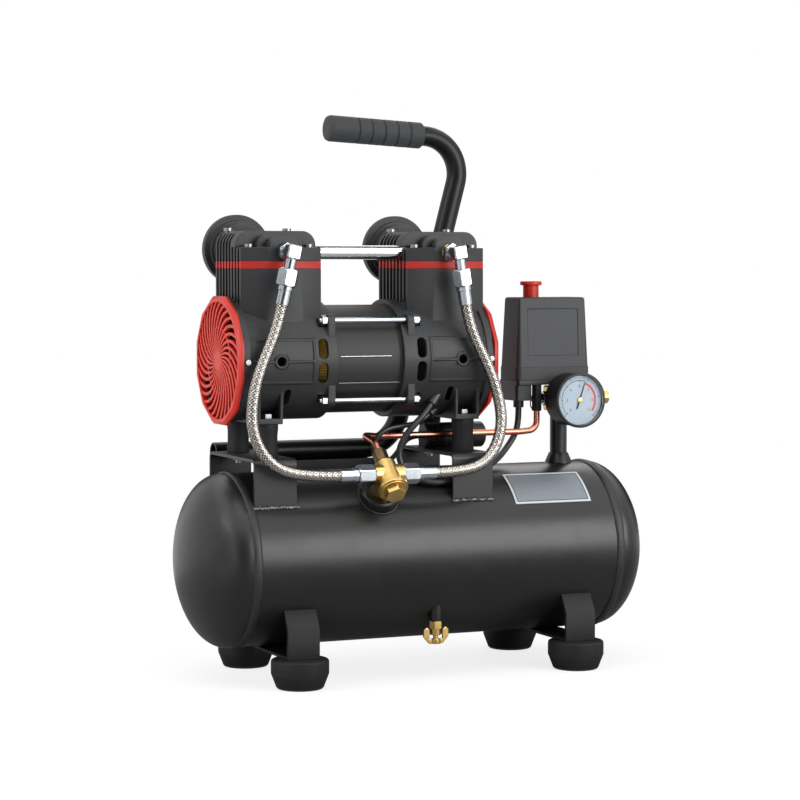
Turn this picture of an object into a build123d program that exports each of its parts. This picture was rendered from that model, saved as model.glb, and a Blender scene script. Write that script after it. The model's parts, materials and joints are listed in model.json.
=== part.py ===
from build123d import *
from math import cos, degrees, radians, sin, sqrt, tan
import os

# A portable oil-free air compressor. X runs along the tank, -Y is the front, Z is up,
# and the origin is on the floor under the middle of the tank. All sizes are millimetres.

# Shared clearances
weld_gap = 0.1        # between a welded piece and the curved wall it sits on
fit_gap = 0.05        # radial running fit of a shaft
slip_gap = 0.3        # radial room around a sliding or turning piece
seat_gap = 0.3        # between a round piece and the flat that carries it
bolt_gap = 0.1        # radial room around a bolt
past = 1.0            # how far a cut runs past the face that it opens

# Tank
tank_radius = 80.0
tank_wall = 2.0
tank_shell_length = 360.0
tank_flange_length = 7.4
tank_dish_depth = 40.8
seam_width = 5.0
seam_height = 0.9
seam_chamfer = 0.6

# Feet and their straps
foot_height = 27.0
foot_base_radius = 21.5
foot_edge = 1.5
foot_rim_radius = 26.3
foot_cone_height = 14.0
foot_recess_radius = 9.0
foot_recess_depth = 12.0
foot_inset = 40.0             # from the tank's seam
foot_setback = 10.0           # from the strap's end
strap_width = 31.0
strap_thickness = 3.0
strap_leg_height = 27.0
strap_tab_angle = 29.0
bolt_radius = 3.0
bolt_head_flats = 10.0
bolt_head_height = 4.0

# Pump brackets and rubber dampers
bracket_offset = 98.0
bracket_width = 41.0
bracket_half_span = 60.0
bracket_thickness = 3.0
bracket_corner = 3.0
bracket_rise = 16.2           # top of the bracket over the top of the tank
damper_radius = 10.5
damper_waist = 0.6
damper_height = 30.5
damper_inset = 18.0           # from the side of the drum
lug_thickness = 5.0
lug_half_width = 12.0
lug_wall = 2.5

# Motor and crankcases, measured along the shaft from the middle of the motor
pump_x = -61.0
drum_rise = 1.6               # underside of the drums over the dampers
barrel_radius = 50.0
barrel_wall = 2.6
barrel_ends = {-1: 35.0, 1: 31.0}
barrel_rim = 0.8
barrel_rim_width = 2.0
case_radius = 55.0
case_wall = 4.0
case_lip = 3.0
case_lip_radius = 46.0
case_ends = {-1: 127.0, 1: 121.0}
flange_rise = 2.5
flange_width = 7.0
bulkhead_start = 57.0
bulkhead_thickness = 5.0
bearing_radius = 17.5
bearing_width = 11.0
bearing_hub_wall = 4.0
vent_offset = 49.0
vent_width = 9.0
vent_height = 18.5
vent_rise = 11.0
peep_offset = 90.0
peep_radius = 4.2
peep_boss_radius = 6.6
slot_offset = 81.0
slot_drop = 32.5
slot_height = 14.0
slot_width = 6.0
panel_rib = 1.0
panel_rib_width = 2.2
panel_half_height = 19.5
rod_rise = 2.95               # tie rods outside the drums
rod_angle = 39.05
rod_radius = 2.5
rod_lug_radius = 6.0
rod_lug_start = 36.0
rod_ear_length = 14.0
rod_lug_end = 43.0
rod_nut_flats = 9.0
rod_nut_height = 5.0
rod_pocket_gap = 0.5
rod_tail = 7.0

# Cylinder towers
tower_offset = 82.0
tower_half_width = 39.0
tower_half_depth = 33.0
tower_facet_half = 15.0
tower_bulge = 9.0
tower_top_over_shaft = 83.7
fin_pitch = 7.8
fin_count = 8
fin_slot_width = 4.6
fin_slot_depth = 5.5
fin_base_over_shaft = 52.0
sleeve_bore = 28.0
sleeve_wall = 2.0
sleeve_length = 32.0
valve_hole_radius = 4.7
valve_hole_y = 14.0
band_height = 6.7
head_height = 12.4
hump_height = 15.1
hump_front = -20.0
hump_corner = 13.0
hump_solid_fins = 3           # slots left out at the front of the hump
step_back = -30.0
step_half_widths = (22.0, 14.0)
step_drops = (3.5, 6.5)
step_groove = 2.2
chamber_half_width = 24.0
chamber_front = -25.0
chamber_rib = 3.0
chamber_rise = 5.0
head_bolt_x = 29.0
head_bolt_y = 27.0
head_bolt_radius = 2.5
head_bolt_head_radius = 4.0
head_bolt_flats = 4.0
head_bolt_head = 3.0
head_bolt_depth = 24.0

# Rotating parts and pistons
shaft_radius = 7.5
shaft_half = 117.0
rotor_radius = 28.5
air_gap = 0.5
stack_half = 25.0
winding_end = 46.0
winding_inner = 32.0
winding_outer = 44.0
winding_edge = 3.0
winding_round = 5.0
stator_slots = 12
slot_half_width = 3.0
crank_throw = 5.0
crank_radius = 15.0
crank_start = 74.0
crank_end = 90.0
crank_hub_radius = 12.0
crank_hub_start = 69.0
weight_radius = 32.0
weight_thickness = 8.0
rod_bearing_radius = 21.0
rod_bearing_width = 12.0
rod_ring_wall = 5.0
rod_shank = 16.0
rod_length = 71.4
crown_radius = 22.5
crown_height = 6.0
cup_height = 1.0
cup_lip = 3.0
cup_inner = 16.0
fan_start = 101.0
fan_width = 15.0
fan_clearance = 5.0
fan_hub_radius = 13.0
fan_blades = 7
fan_blade_thickness = 2.0
fan_blade_pitch = 38.0

# Fan covers
cover_sides = 12
cover_overhang = 3.1
cover_rim_inset = 1.5
cover_rim_depth = 5.0
cover_lip = 1.0
cover_dome_depth = 4.5
cover_shoulder_inset = 7.0
cover_hub_radius = 9.0
cover_hub_depth = 3.0
cover_ribs = 30
cover_rib_root_width = 1.6
cover_rib_mid_width = 3.0
cover_rib_rim_width = 4.4
cover_rib_depth = 4.0
cover_rib_sweep = 46.0
cover_rib_root = 2.0
cover_mid_share = 0.38
cover_mid_radius = 30.0
cover_mid_width = 2.5
cover_screw_radius = 2.6

# Intake filters, crossover tube and head fittings
port_z_over_band = 8.0
filter_neck_radius = 9.0
filter_rise = 3.0             # over the head's port
filter_radii = (21.5, 24.5, 27.5, 33.0)
filter_fronts = (58.0, 68.0, 77.0, 80.6)
filter_back = 90.5
filter_vent = 2.0
crossover_radius = 6.5
crossover_wall = 1.0
crossover_y = -16.0
crossover_insert = 4.0
elbow_out = 7.0               # in front of the drums
elbow_block = 13.0
elbow_pipe_radius = 6.0
elbow_collar_flats = 15.0
elbow_collar_length = 6.0
elbow_collar_gap = 2.0
elbow_edge = 1.2
elbow_neck_radius = 5.0
elbow_tilts = {-1: 12.5, 1: 9.0}
nut_flats = 17.0
nut_start = 15.5
nut_length = 16.0
nut_chamfer = 1.6
ferrule_ring_radius = 6.9
ferrule_ring_length = 4.0
ferrule_radius = 6.2
ferrule_length = 13.0
hose_radius = 5.5
hose_first_run = 22.0
hose_last_run = 18.0
hose_shares = (0.367, 0.5, 0.633, 0.767, 0.9)     # of the way from the elbow to the valve
hose_bends = {-1: ((117.5, 93.7), (124.2, 63.2), (124.0, 40.7), (114.0, 19.2), (96.0, 5.1)),
              1: ((112.0, 93.7), (121.2, 62.7), (122.0, 40.2), (113.5, 18.2), (96.5, 4.5))}

# Check valve on the front of the tank
valve_x = -57.0
valve_inset = 3.0             # behind the front of the tank
valve_rise = 0.7              # over the top of the tank
valve_body_radius = 10.5
valve_arm_radius = 9.0
valve_arm_length = 14.2
valve_collar_radius = 14.0
valve_collar_start = 15.5
valve_collar_length = 3.5
valve_stem_radius = 8.0
valve_stem_bore = 5.5
valve_neck_radius = 10.0
valve_arm_bore = 5.0
valve_bore = 7.5
valve_boss_radius = 18.0
valve_boss_height = 9.0
valve_boss_edge = 2.0
valve_cap_flats = 17.0
valve_cap_length = 6.0
cap_washer = 1.5
cap_washer_radius = 12.6
cap_thread = 6.0
valve_port_radius = 5.5
valve_nut_flats = 12.0
valve_nut_start = 15.0
valve_nut_length = 12.5
copper_radius = 3.0
copper_wall = 0.8
copper_insert = 4.0
copper_rise = 15.0           # over the brackets
copper_first_run = 15.0
copper_setback = 9.0
copper_turn = 14.0
copper_lead_in = 18.0
copper_dip = 1.5
copper_bends = [9.0, 9.0, 7.0, 30.0, 9.0]

# Riser pipe, manifold, gauge and pressure switch
riser_inset = 22.7            # from the tank's seam
riser_radius = 8.2
riser_wall = 2.0
riser_height = 49.7
collar_radius = 13.0
collar_height = 9.0
collar_lip = 1.0
manifold_half = 11.5
manifold_height = 24.0
manifold_edge = 1.5
manifold_neck = 9.5
gauge_case_radius = 25.2
gauge_bezel_radius = 26.4
gauge_bezel_width = 3.2
gauge_depth = 27.0
gauge_front = -47.0
gauge_wall = 1.6
gauge_bezel_lip = 2.6
gauge_stem_radius = 6.0
gauge_hex_flats = 14.0
gauge_hex_length = 5.0
gauge_edge = 1.0
dial_recess = 4.2
dial_thickness = 1.0
lens_thickness = 1.5
lens_recess = 0.4
needle_length = 18.0
needle_tail = 9.0
needle_width = 1.4
needle_thickness = 0.6
needle_taper = 0.3           # width at the tip over width at the tail
needle_gap = 0.4
needle_hub_radius = 2.0
needle_hub_height = 0.4
needle_pin_radius = 0.8
needle_rest = 19.0
switch_reach_left = 54.3      # from the riser
switch_reach_right = 23.7
switch_half_depth = 20.0
switch_floor = 4.5
base_edge = 2.0
switch_flange_height = 12.5
switch_height = 79.2
switch_draft = 4.0
switch_wall = 2.5
switch_edge = 5.0
switch_least_corner = 0.8
switch_step = 0.6
switch_top_edge = 2.5
panel_side = 12.0
panel_margin = 11.0
panel_recess = 0.5
switch_neck = 2.0
terminal_width = 17.0
terminal_height = 15.0
knob_inset = 24.0
knob_stem_radius = 7.5
knob_flange_radius = 10.4
knob_flange_height = 4.0
knob_edge = 0.8
knob_rise = 15.3
knob_depth = 16.0
contact_block_height = 24.0
contact_block_depth = 20.0
contact_arm_height = 48.0
contact_arm_depth = 10.0
unloader_y = -13.0
unloader_flats = 9.0
unloader_drop = 25.0
safety_radius = 4.6
safety_flats = 12.0
safety_length = 12.0
safety_tip_radius = 3.2
safety_tip_length = 5.0
safety_ring_radius = 5.0
safety_ring_wire = 0.6
outlet_flats = 16.0
outlet_length = 41.0
outlet_hex_length = 22.0
outlet_thread_radius = 6.5
outlet_bore = 3.5

# Drain
drain_x = -2.0
drain_inset = 18.0            # behind the front of the tank
drain_stub_radius = 5.5
drain_stub_bore = 3.5
drain_stub_drop = 7.74
drain_flats = 11.0
drain_hex_length = 7.0
drain_barrel_radius = 4.5
drain_barrel_length = 6.0
drain_stem_radius = 2.5
wing_reach = 12.5
wing_inner = 6.6
wing_drop = 6.0
wing_height = 15.0
wing_foot = 4.5
wing_thickness = 2.4
wing_edge = 2.0

# Handle
handle_radius = 9.7
handle_wall = 1.6
handle_start_x = -172.0
handle_base_rise = 13.7       # over the top of the tank
handle_foot_x = 10.8
handle_top_x = 91.0
handle_height = 312.8
handle_end_x = -52.0
handle_end_rise = 7.7
handle_foot_bend = 40.0
handle_top_bend = 36.0
handle_plate_left = -100.0
handle_plate_right = -5.0
handle_plate_thickness = 4.0
grip_radius = 12.6
grip_length = 100.0
grip_end = 5.0
grip_nose = 4.0
grip_edge = 1.2
grip_tail = 2.2
grip_grooves = 5
grip_groove_pitch = 13.4
grip_groove_depth = 1.2
grip_groove_width = 2.0
grip_groove_slant = 0.5
grip_groove_start = 29.6

# Label plate, capacitor and cables
label_inset = 21.4            # from the tank's seam
label_length = 79.6
label_thickness = 0.5
label_upper_angle = 25.6
label_lower_angle = 54.3
capacitor_radius = 12.2
capacitor_left = 15.0
capacitor_right = 77.0
capacitor_y = 5.0
capacitor_rib = 1.0
capacitor_edge = 1.5
capacitor_grooves = 5
capacitor_groove_start = 4.0
capacitor_groove_pitch = 3.0
lead_radius = 3.0
small_lead_radius = 2.4
gland_radius = 5.0
gland_length = 7.0
gland_edge = 1.0
grommet_length = 5.0
gland_run = 13.0
lead_first_run = 12.0
small_first_run = 14.0
motor_exit_x = 6.0
motor_exit_angle = 46.66      # round the drum from straight down
small_exit_x = 12.0
small_exit_angle = 25.87
# Bends of the two leads: x, y and the height over the tank's wall
motor_bends = ((108.5, -4.0, 27.8), (97.5, -8.0, 16.1), (85.0, -15.0, 7.6), (68.0, -27.0, 4.9),
               (48.0, -39.0, 5.9), (25.0, -47.0, 5.5), (2.0, -49.0, 5.0), (-15.0, -45.0, 6.6),
               (-26.0, -40.0, 13.4), (-29.5, -38.0, 25.8), (-25.0, -39.5, 39.6), (-16.5, -41.5, 52.3))
small_bends = ((-20.0, -31.0, 47.4), (-38.0, -33.0, 46.3), (-47.5, -32.5, 39.1), (-51.0, -30.0, 27.5),
               (-47.5, -26.0, 16.0), (-38.0, -20.0, 8.2), (-22.0, -8.0, 9.1), (-10.0, 1.0, 17.7))

# Places worked out from the sizes above
tank_z = foot_height + strap_thickness + seat_gap + tank_radius
tank_top = tank_z + tank_radius
seam_x = tank_shell_length / 2
foot_x = seam_x - foot_inset
strap_half_span = tank_radius
foot_y = strap_half_span - foot_setback
damper_y = case_radius - damper_inset
bracket_top = tank_top + bracket_rise
lug_z = bracket_top + damper_height
shaft_z = lug_z + drum_rise + case_radius
flange_radius = case_radius + flange_rise
rod_y = (case_radius + rod_rise) * cos(radians(rod_angle))
rod_z = (case_radius + rod_rise) * sin(radians(rod_angle))
fan_tip_radius = case_radius - case_wall - fan_clearance
cover_radius = flange_radius + cover_overhang
cover_rim_inner = case_radius - cover_rim_inset
cover_shoulder = cover_rim_inner - cover_shoulder_inset
tower_top = shaft_z + tower_top_over_shaft
band_top = tower_top + band_height
block_top = band_top + head_height
hump_top = block_top + hump_height
port_z = band_top + port_z_over_band
filter_z = port_z + filter_rise
tower_front = -tower_half_depth - tower_bulge
elbow_y = -case_radius - elbow_out
riser_x = seam_x - riser_inset
riser_top = tank_top + riser_height
manifold_z = riser_top + manifold_height / 2
base_z = riser_top + manifold_height + switch_neck
cover_z = base_z + switch_floor
switch_top = cover_z + switch_height
switch_left = riser_x - switch_reach_left
switch_right = riser_x + switch_reach_right
knob_x = switch_left + knob_inset
unloader_x = knob_x
drain_y = drain_inset - tank_radius
drain_stub_bottom = tank_z - sqrt(tank_radius ** 2 - drain_y ** 2) - drain_stub_drop
wing_top = drain_stub_bottom - wing_drop
wing_bottom = wing_top - wing_height
handle_y = bracket_half_span + handle_radius + weld_gap
handle_base_z = tank_top + handle_base_rise
handle_top_z = tank_top + handle_height
handle_end_z = handle_top_z + handle_end_rise
label_right = seam_x - label_inset
label_left = label_right - label_length
capacitor_z = bracket_top + capacitor_radius + seat_gap
valve_y = valve_inset - tank_radius
valve_z = tank_top + valve_rise
tank_to_valve = Vector(0, valve_y, valve_z - tank_z)
valve_out = tank_to_valve.normalized()
valve_axis = Vector(0, -valve_out.Z, valve_out.Y)
valve_centre = Vector(valve_x, valve_y, valve_z)
parts = {}


def rod(radius, start, end):
    start, end = Vector(start), Vector(end)
    solid = Cylinder(radius, (end - start).length, align=(Align.CENTER, Align.CENTER, Align.MIN))
    return Plane(origin=start, z_dir=end - start) * solid


def ring(outer, inner, start, end):
    return rod(outer, start, end) - rod(inner, start, end)


def hex_bar(flats, start, end):
    start, end = Vector(start), Vector(end)
    face = RegularPolygon(flats / 2, 6, major_radius=False)
    return extrude(Plane(origin=start, z_dir=end - start) * face, amount=(end - start).length)


def corner_radius(flats):
    # Of a hexagon, from its size across the flats
    return flats / 2 / cos(radians(30))


def block(low, high):
    size = [b - a for a, b in zip(low, high)]
    return Pos(*low) * Box(*size, align=(Align.MIN, Align.MIN, Align.MIN))


def span_x(a, b, y0, y1, z0, z1):
    return block((min(a, b), y0, z0), (max(a, b), y1, z1))


def yz_prism(sketch, x0, x1):
    return extrude(Plane.YZ.offset(min(x0, x1)) * sketch, amount=abs(x1 - x0))


def xy_prism(sketch, z0, z1):
    return extrude(Plane.XY.offset(z0) * sketch, amount=z1 - z0)


def xz_prism(sketch, y0, y1):
    plane = Plane(origin=(0, y1, 0), x_dir=(1, 0, 0), z_dir=(0, -1, 0))
    return extrude(plane * sketch, amount=y1 - y0)


def polygon(*points):
    return make_face(Polyline(*points, close=True))


def turned(points, axis):
    return revolve(Plane.XZ * polygon(*points), axis=axis)


def tank_solid(extra=0.0):
    reach = seam_x + tank_dish_depth
    return rod(tank_radius + extra, (-reach, 0, tank_z), (reach, 0, tank_z))


def pump_at(side, distance, y=0.0, z=None):
    return (pump_x + side * distance, y, shaft_z if z is None else z)


def pipe(path, outer, inner):
    start = Plane(origin=path @ 0, z_dir=path % 0)
    return sweep(start * (Circle(outer) - Circle(inner)), path=path)


def cord(name, points, radius):
    points = [Vector(p) for p in points]
    runs = [b - a for a, b in zip(points, points[1:])]
    radii = []
    for before, after in zip(runs, runs[1:]):
        turn = radians(before.get_angle(after))
        radii.append(0.45 * min(before.length, after.length) / tan(turn / 2))
    path = FilletPolyline(*points, radius=radii)
    solid = sweep(Plane(origin=path @ 0, z_dir=path % 0) * Circle(radius), path=path)
    print(name, "route", [tuple(round(c, 3) for c in p) for p in points])
    wanted = Circle(radius).area * path.length
    print(name, "bend radii", [round(r) for r in radii], "length", round(path.length, 1),
          "volume ratio", round(solid.volume / wanted, 4))
    return solid


def tank_group():
    shell = ring(tank_radius, tank_radius - tank_wall, (-seam_x, 0, tank_z), (seam_x, 0, tank_z))
    shell -= rod(riser_radius - riser_wall, (riser_x, 0, tank_z), (riser_x, 0, tank_z + 2 * tank_radius))
    shell -= rod(valve_stem_radius + bolt_gap, (valve_x, 0, tank_z), valve_centre)
    shell -= rod(drain_barrel_radius, (drain_x, drain_y, 0), (drain_x, drain_y, tank_z))
    parts["tank_shell"] = [shell]
    parts["tank_ends"] = [tank_end(side) for side in (-1, 1)]
    parts["tank_weldments"] = [valve_boss(), drain_stub(), riser_collar(), handle_plate()]
    wedge = []
    for angle in (label_upper_angle, label_lower_angle):
        reach = 2 * tank_radius / cos(radians(label_lower_angle - label_upper_angle))
        wedge.append((-reach * sin(radians(angle)), tank_z + reach * cos(radians(angle))))
    sector = yz_prism(polygon((0, tank_z), *wedge), label_left, label_right)
    skin = ring(tank_radius + weld_gap + label_thickness, tank_radius + weld_gap,
                (label_left, 0, tank_z), (label_right, 0, tank_z))
    parts["label_plate"] = [skin & sector]


def tank_end(side):
    def half_dish(radius, depth, flange):
        dome = Pos(side * (seam_x + flange), 0, tank_z) * scale(Sphere(1), (depth, radius, radius))
        keep = span_x(side * (seam_x + flange), side * (seam_x + flange + 2 * depth),
                      -2 * radius, 2 * radius, tank_z - 2 * radius, tank_z + 2 * radius)
        return dome & keep

    start = (side * seam_x, 0, tank_z)
    flange_end = (side * (seam_x + tank_flange_length), 0, tank_z)
    solid = rod(tank_radius, start, flange_end)
    solid += half_dish(tank_radius, tank_dish_depth, tank_flange_length)
    inside = rod(tank_radius - tank_wall, start, flange_end)
    inside += half_dish(tank_radius - tank_wall, tank_dish_depth - tank_wall, tank_flange_length)
    seam = rod(tank_radius + seam_height, start, (side * (seam_x + seam_width), 0, tank_z))
    seam = chamfer(seam.edges().filter_by(GeomType.CIRCLE), seam_chamfer)
    return (solid + seam) - inside


def valve_boss():
    root = Vector(valve_x, 0, tank_z)
    face = root + valve_out * (tank_radius + valve_boss_height)
    boss = rod(valve_boss_radius, root + valve_out * (tank_radius / 2), face)
    boss = chamfer(boss.edges().sort_by(Axis((0, 0, 0), valve_out))[-1], valve_boss_edge)
    boss -= rod(valve_stem_radius + bolt_gap, root, face + valve_out * past)
    return boss - tank_solid(weld_gap)


def drain_stub():
    stub = ring(drain_stub_radius, drain_stub_bore, (drain_x, drain_y, drain_stub_bottom),
                (drain_x, drain_y, tank_z))
    return stub - tank_solid(weld_gap)


def riser_collar():
    low = tank_z + tank_radius - collar_height
    top = tank_z + tank_radius + collar_height
    lip = riser_radius + collar_lip
    cone = Cone(2 * collar_radius - lip, lip, top - low, align=(Align.CENTER, Align.CENTER, Align.MIN))
    collar = Pos(riser_x, 0, low) * cone
    collar -= rod(riser_radius + weld_gap, (riser_x, 0, low - past), (riser_x, 0, top + past))
    return collar - tank_solid(weld_gap)


def handle_plate():
    half = handle_plate_thickness / 2
    plate = block((handle_plate_left, handle_y - half, tank_z),
                  (handle_plate_right, handle_y + half, handle_base_z))
    plate -= rod(handle_radius + weld_gap, (handle_plate_left - past, handle_y, handle_base_z),
                 (handle_plate_right + past, handle_y, handle_base_z))
    return plate - tank_solid(weld_gap)


def foot_group():
    straps, feet, bolts = [], [], []
    plate_top = foot_height + strap_thickness
    leg_top = foot_height + strap_leg_height
    angle = radians(strap_tab_angle)
    contact = Vector(tank_radius * cos(angle), tank_z - tank_radius * sin(angle))
    lean = (contact - Vector(strap_half_span, leg_top)).normalized()
    inward = Vector(-lean.Y, lean.X) * strap_thickness
    for side in (-1, 1):
        x0 = side * foot_x - strap_width / 2
        x1 = side * foot_x + strap_width / 2
        strap = block((x0, -strap_half_span, foot_height), (x1, strap_half_span, plate_top))
        for face in (-1, 1):
            outer = face * strap_half_span
            inner = face * (strap_half_span - strap_thickness)
            strap += block((x0, min(outer, inner), foot_height), (x1, max(outer, inner), leg_top))
            start = Vector(strap_half_span, leg_top)
            corners = [start, contact + lean * strap_thickness, contact + lean * strap_thickness + inward,
                       start + inward, Vector(strap_half_span - strap_thickness, leg_top - strap_thickness)]
            strap += yz_prism(polygon(*[(face * c.X, c.Y) for c in corners]), x0, x1)
            x, y = side * foot_x, face * foot_y
            strap -= rod(bolt_radius + bolt_gap, (x, y, 0), (x, y, leg_top))
            feet.append(rubber_foot(x, y))
            bolts.append(foot_bolt(x, y, plate_top))
        straps.append(strap - tank_solid(weld_gap))
    parts["foot_straps"] = straps
    parts["rubber_feet"] = feet
    return bolts


def rubber_foot(x, y):
    profile = [(0, 0), (foot_base_radius - foot_edge, 0), (foot_base_radius, foot_edge),
               (foot_rim_radius, foot_cone_height), (foot_rim_radius, foot_height - foot_edge),
               (foot_rim_radius - foot_edge, foot_height), (0, foot_height)]
    foot = Pos(x, y, 0) * turned(profile, Axis.Z)
    foot -= rod(foot_recess_radius, (x, y, 0), (x, y, foot_recess_depth))
    return foot - rod(bolt_radius + bolt_gap, (x, y, 0), (x, y, foot_height))


def foot_bolt(x, y, plate_top):
    head = foot_recess_depth - bolt_head_height
    nut_top = plate_top + bolt_head_height
    bolt = hex_bar(bolt_head_flats, (x, y, head), (x, y, foot_recess_depth))
    bolt += rod(bolt_radius, (x, y, head), (x, y, nut_top + bolt_radius))
    return bolt + hex_bar(bolt_head_flats, (x, y, plate_top), (x, y, nut_top))


def bracket_group():
    brackets, dampers, bolts = [], [], []
    inner_half = bracket_half_span - bracket_thickness
    for side in (-1, 1):
        x = pump_x + side * bracket_offset
        outer = polygon((-bracket_half_span, tank_z), (bracket_half_span, tank_z),
                        (bracket_half_span, bracket_top), (-bracket_half_span, bracket_top))
        outer = fillet(outer.vertices().group_by(Axis.Y)[-1], bracket_corner + bracket_thickness)
        inner = polygon((-inner_half, tank_z), (inner_half, tank_z),
                        (inner_half, bracket_top - bracket_thickness),
                        (-inner_half, bracket_top - bracket_thickness))
        inner = fillet(inner.vertices().group_by(Axis.Y)[-1], bracket_corner)
        bracket = yz_prism(outer - inner, x - bracket_width / 2, x + bracket_width / 2)
        for face in (-1, 1):
            y = face * damper_y
            bracket -= rod(bolt_radius + bolt_gap, (x, y, tank_z), (x, y, bracket_top))
            dampers.append(rubber_damper(x, y))
            bolts.append(damper_bolt(x, y))
        brackets.append(bracket - tank_solid(weld_gap))
    parts["pump_brackets"] = brackets
    parts["rubber_dampers"] = dampers
    return bolts


def rubber_damper(x, y):
    waist = damper_radius - damper_waist
    step = damper_height / 6
    profile = [(bolt_radius + bolt_gap, 0), (damper_radius, 0), (damper_radius, step), (waist, 2 * step),
               (waist, 4 * step), (damper_radius, 5 * step), (damper_radius, 6 * step),
               (bolt_radius + bolt_gap, 6 * step)]
    return Pos(x, y, bracket_top) * turned(profile, Axis.Z)


def damper_bolt(x, y):
    under = bracket_top - bracket_thickness
    over = lug_z + lug_thickness
    bolt = rod(bolt_radius, (x, y, under - bolt_head_height - bolt_radius), (x, y, over + bolt_head_height))
    bolt += hex_bar(bolt_head_flats, (x, y, under - bolt_head_height), (x, y, under))
    return bolt + hex_bar(bolt_head_flats, (x, y, over), (x, y, over + bolt_head_height))


def motor_group():
    left, right = pump_at(-1, barrel_ends[-1]), pump_at(1, barrel_ends[1])
    barrel = rod(barrel_radius, left, right)
    for side, end in barrel_ends.items():
        barrel += rod(barrel_radius + barrel_rim, pump_at(side, end - barrel_rim_width), pump_at(side, end))
    inner = barrel_radius - barrel_wall
    barrel -= rod(inner, left, right)
    parts["motor_barrel"] = [barrel]

    bore = rotor_radius + air_gap
    core = ring(inner - weld_gap, bore, pump_at(-1, stack_half), pump_at(1, stack_half))
    coil_profile = [(winding_inner, 0), (winding_outer - winding_edge, 0), (winding_outer, winding_edge)]
    coil_length = winding_end - stack_half
    coil_profile += [(winding_outer, coil_length - winding_round),
                     (winding_outer - winding_round, coil_length),
                     (winding_inner + winding_edge, coil_length), (winding_inner, coil_length - winding_edge)]
    slot_top = winding_outer - winding_edge
    coil = Part()
    for side in (-1, 1):
        plane = Plane(origin=pump_at(side, stack_half), z_dir=(side, 0, 0))
        coil += plane * turned(coil_profile, Axis.Z)
    for index in range(stator_slots):
        place = Pos(*pump_at(1, 0)) * Rot(X=index * 360 / stator_slots)
        core -= place * block((-stack_half, -slot_half_width, winding_inner),
                              (stack_half, slot_half_width, slot_top))
        coil += place * block((-stack_half, weld_gap - slot_half_width, winding_inner + weld_gap),
                              (stack_half, slot_half_width - weld_gap, slot_top - weld_gap))
    parts["stator_core"] = [core]
    parts["stator_windings"] = [coil]

    parts["motor_shaft"] = [rod(shaft_radius, pump_at(-1, shaft_half), pump_at(1, shaft_half))]
    parts["rotor_core"] = [ring(rotor_radius, shaft_radius + fit_gap, pump_at(-1, stack_half),
                                pump_at(1, stack_half))]
    parts["cranks"] = [crank(side) for side in (-1, 1)]
    parts["cooling_fans"] = [cooling_fan(side) for side in (-1, 1)]
    parts["main_bearings"] = [ring(bearing_radius, shaft_radius + fit_gap, pump_at(side, bulkhead_start),
                                   pump_at(side, bulkhead_start + bearing_width)) for side in (-1, 1)]


def throw_z(side):
    # The left crank stands up and the right one hangs down, half a turn apart
    return shaft_z - side * crank_throw


def crank(side):
    z = throw_z(side)
    solid = rod(crank_radius, pump_at(side, crank_start, 0, z), pump_at(side, crank_end, 0, z))
    solid += rod(crank_hub_radius, pump_at(side, crank_hub_start), pump_at(side, crank_start))
    weight_end = crank_end + weight_thickness
    weight = rod(weight_radius, pump_at(side, crank_end), pump_at(side, weight_end))
    x0, x1 = pump_x + side * crank_end, pump_x + side * weight_end
    # The weight hangs on the side away from the throw
    below = weight_radius if side < 0 else crank_hub_radius
    above = crank_hub_radius if side < 0 else weight_radius
    solid += weight & span_x(x0, x1, -weight_radius, weight_radius, shaft_z - below, shaft_z + above)
    return solid - rod(shaft_radius + fit_gap, pump_at(side, crank_hub_start - past),
                       pump_at(side, weight_end + past))


def cooling_fan(side):
    end = fan_start + fan_width
    fan = rod(fan_hub_radius, pump_at(side, fan_start), pump_at(side, end))
    middle = pump_at(side, fan_start + fan_width / 2)
    half_chord = fan_width / 2 / cos(radians(fan_blade_pitch))
    room = ring(fan_tip_radius, shaft_radius + fit_gap, pump_at(side, fan_start), pump_at(side, end))
    blade = block((-half_chord, -fan_blade_thickness / 2, (shaft_radius + fan_hub_radius) / 2),
                  (half_chord, fan_blade_thickness / 2, fan_tip_radius + past))
    blade = Rot(Z=fan_blade_pitch) * blade
    for index in range(fan_blades):
        fan += (Pos(*middle) * Rot(X=index * 360 / fan_blades) * blade) & room
    return fan - rod(shaft_radius + fit_gap, pump_at(side, fan_start - past), pump_at(side, end + past))


def piston_group():
    for side, name in ((-1, "left"), (1, "right")):
        z = throw_z(side)
        middle = (crank_start + crank_end) / 2
        start, end = middle - rod_bearing_width / 2, middle + rod_bearing_width / 2
        near, far = pump_at(side, start, 0, z), pump_at(side, end, 0, z)
        parts["rod_bearing_" + name] = [ring(rod_bearing_radius, crank_radius + fit_gap, near, far)]
        ring_radius = rod_bearing_radius + rod_ring_wall
        crown_base = z + rod_length - cup_height
        x0, x1 = pump_x + side * start, pump_x + side * end
        piston = rod(ring_radius, near, far)
        piston += span_x(x0, x1, -rod_shank / 2, rod_shank / 2, z, crown_base)
        axis = (pump_x + side * tower_offset, 0)
        piston += rod(crown_radius, (*axis, crown_base - crown_height), (*axis, crown_base))
        piston += rod(cup_inner - fit_gap, (*axis, crown_base), (*axis, crown_base + cup_lip))
        piston -= rod(rod_bearing_radius + weld_gap / 2, near, far)
        parts["piston_" + name] = [piston]
        cup = rod(crown_radius, (*axis, crown_base), (*axis, crown_base + cup_height))
        cup += ring(crown_radius, crown_radius - cup_height, (*axis, crown_base),
                    (*axis, crown_base + cup_lip))
        cup -= rod(cup_inner, (*axis, crown_base), (*axis, crown_base + cup_lip))
        parts["piston_cup_" + name] = [cup]


def tower_plan(side):
    x = pump_x + side * tower_offset
    w, d = tower_half_width, tower_half_depth
    return polygon((x - w, -d), (x - tower_facet_half, tower_front), (x + tower_facet_half, tower_front),
                   (x + w, -d), (x + w, d), (x - w, d))


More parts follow.
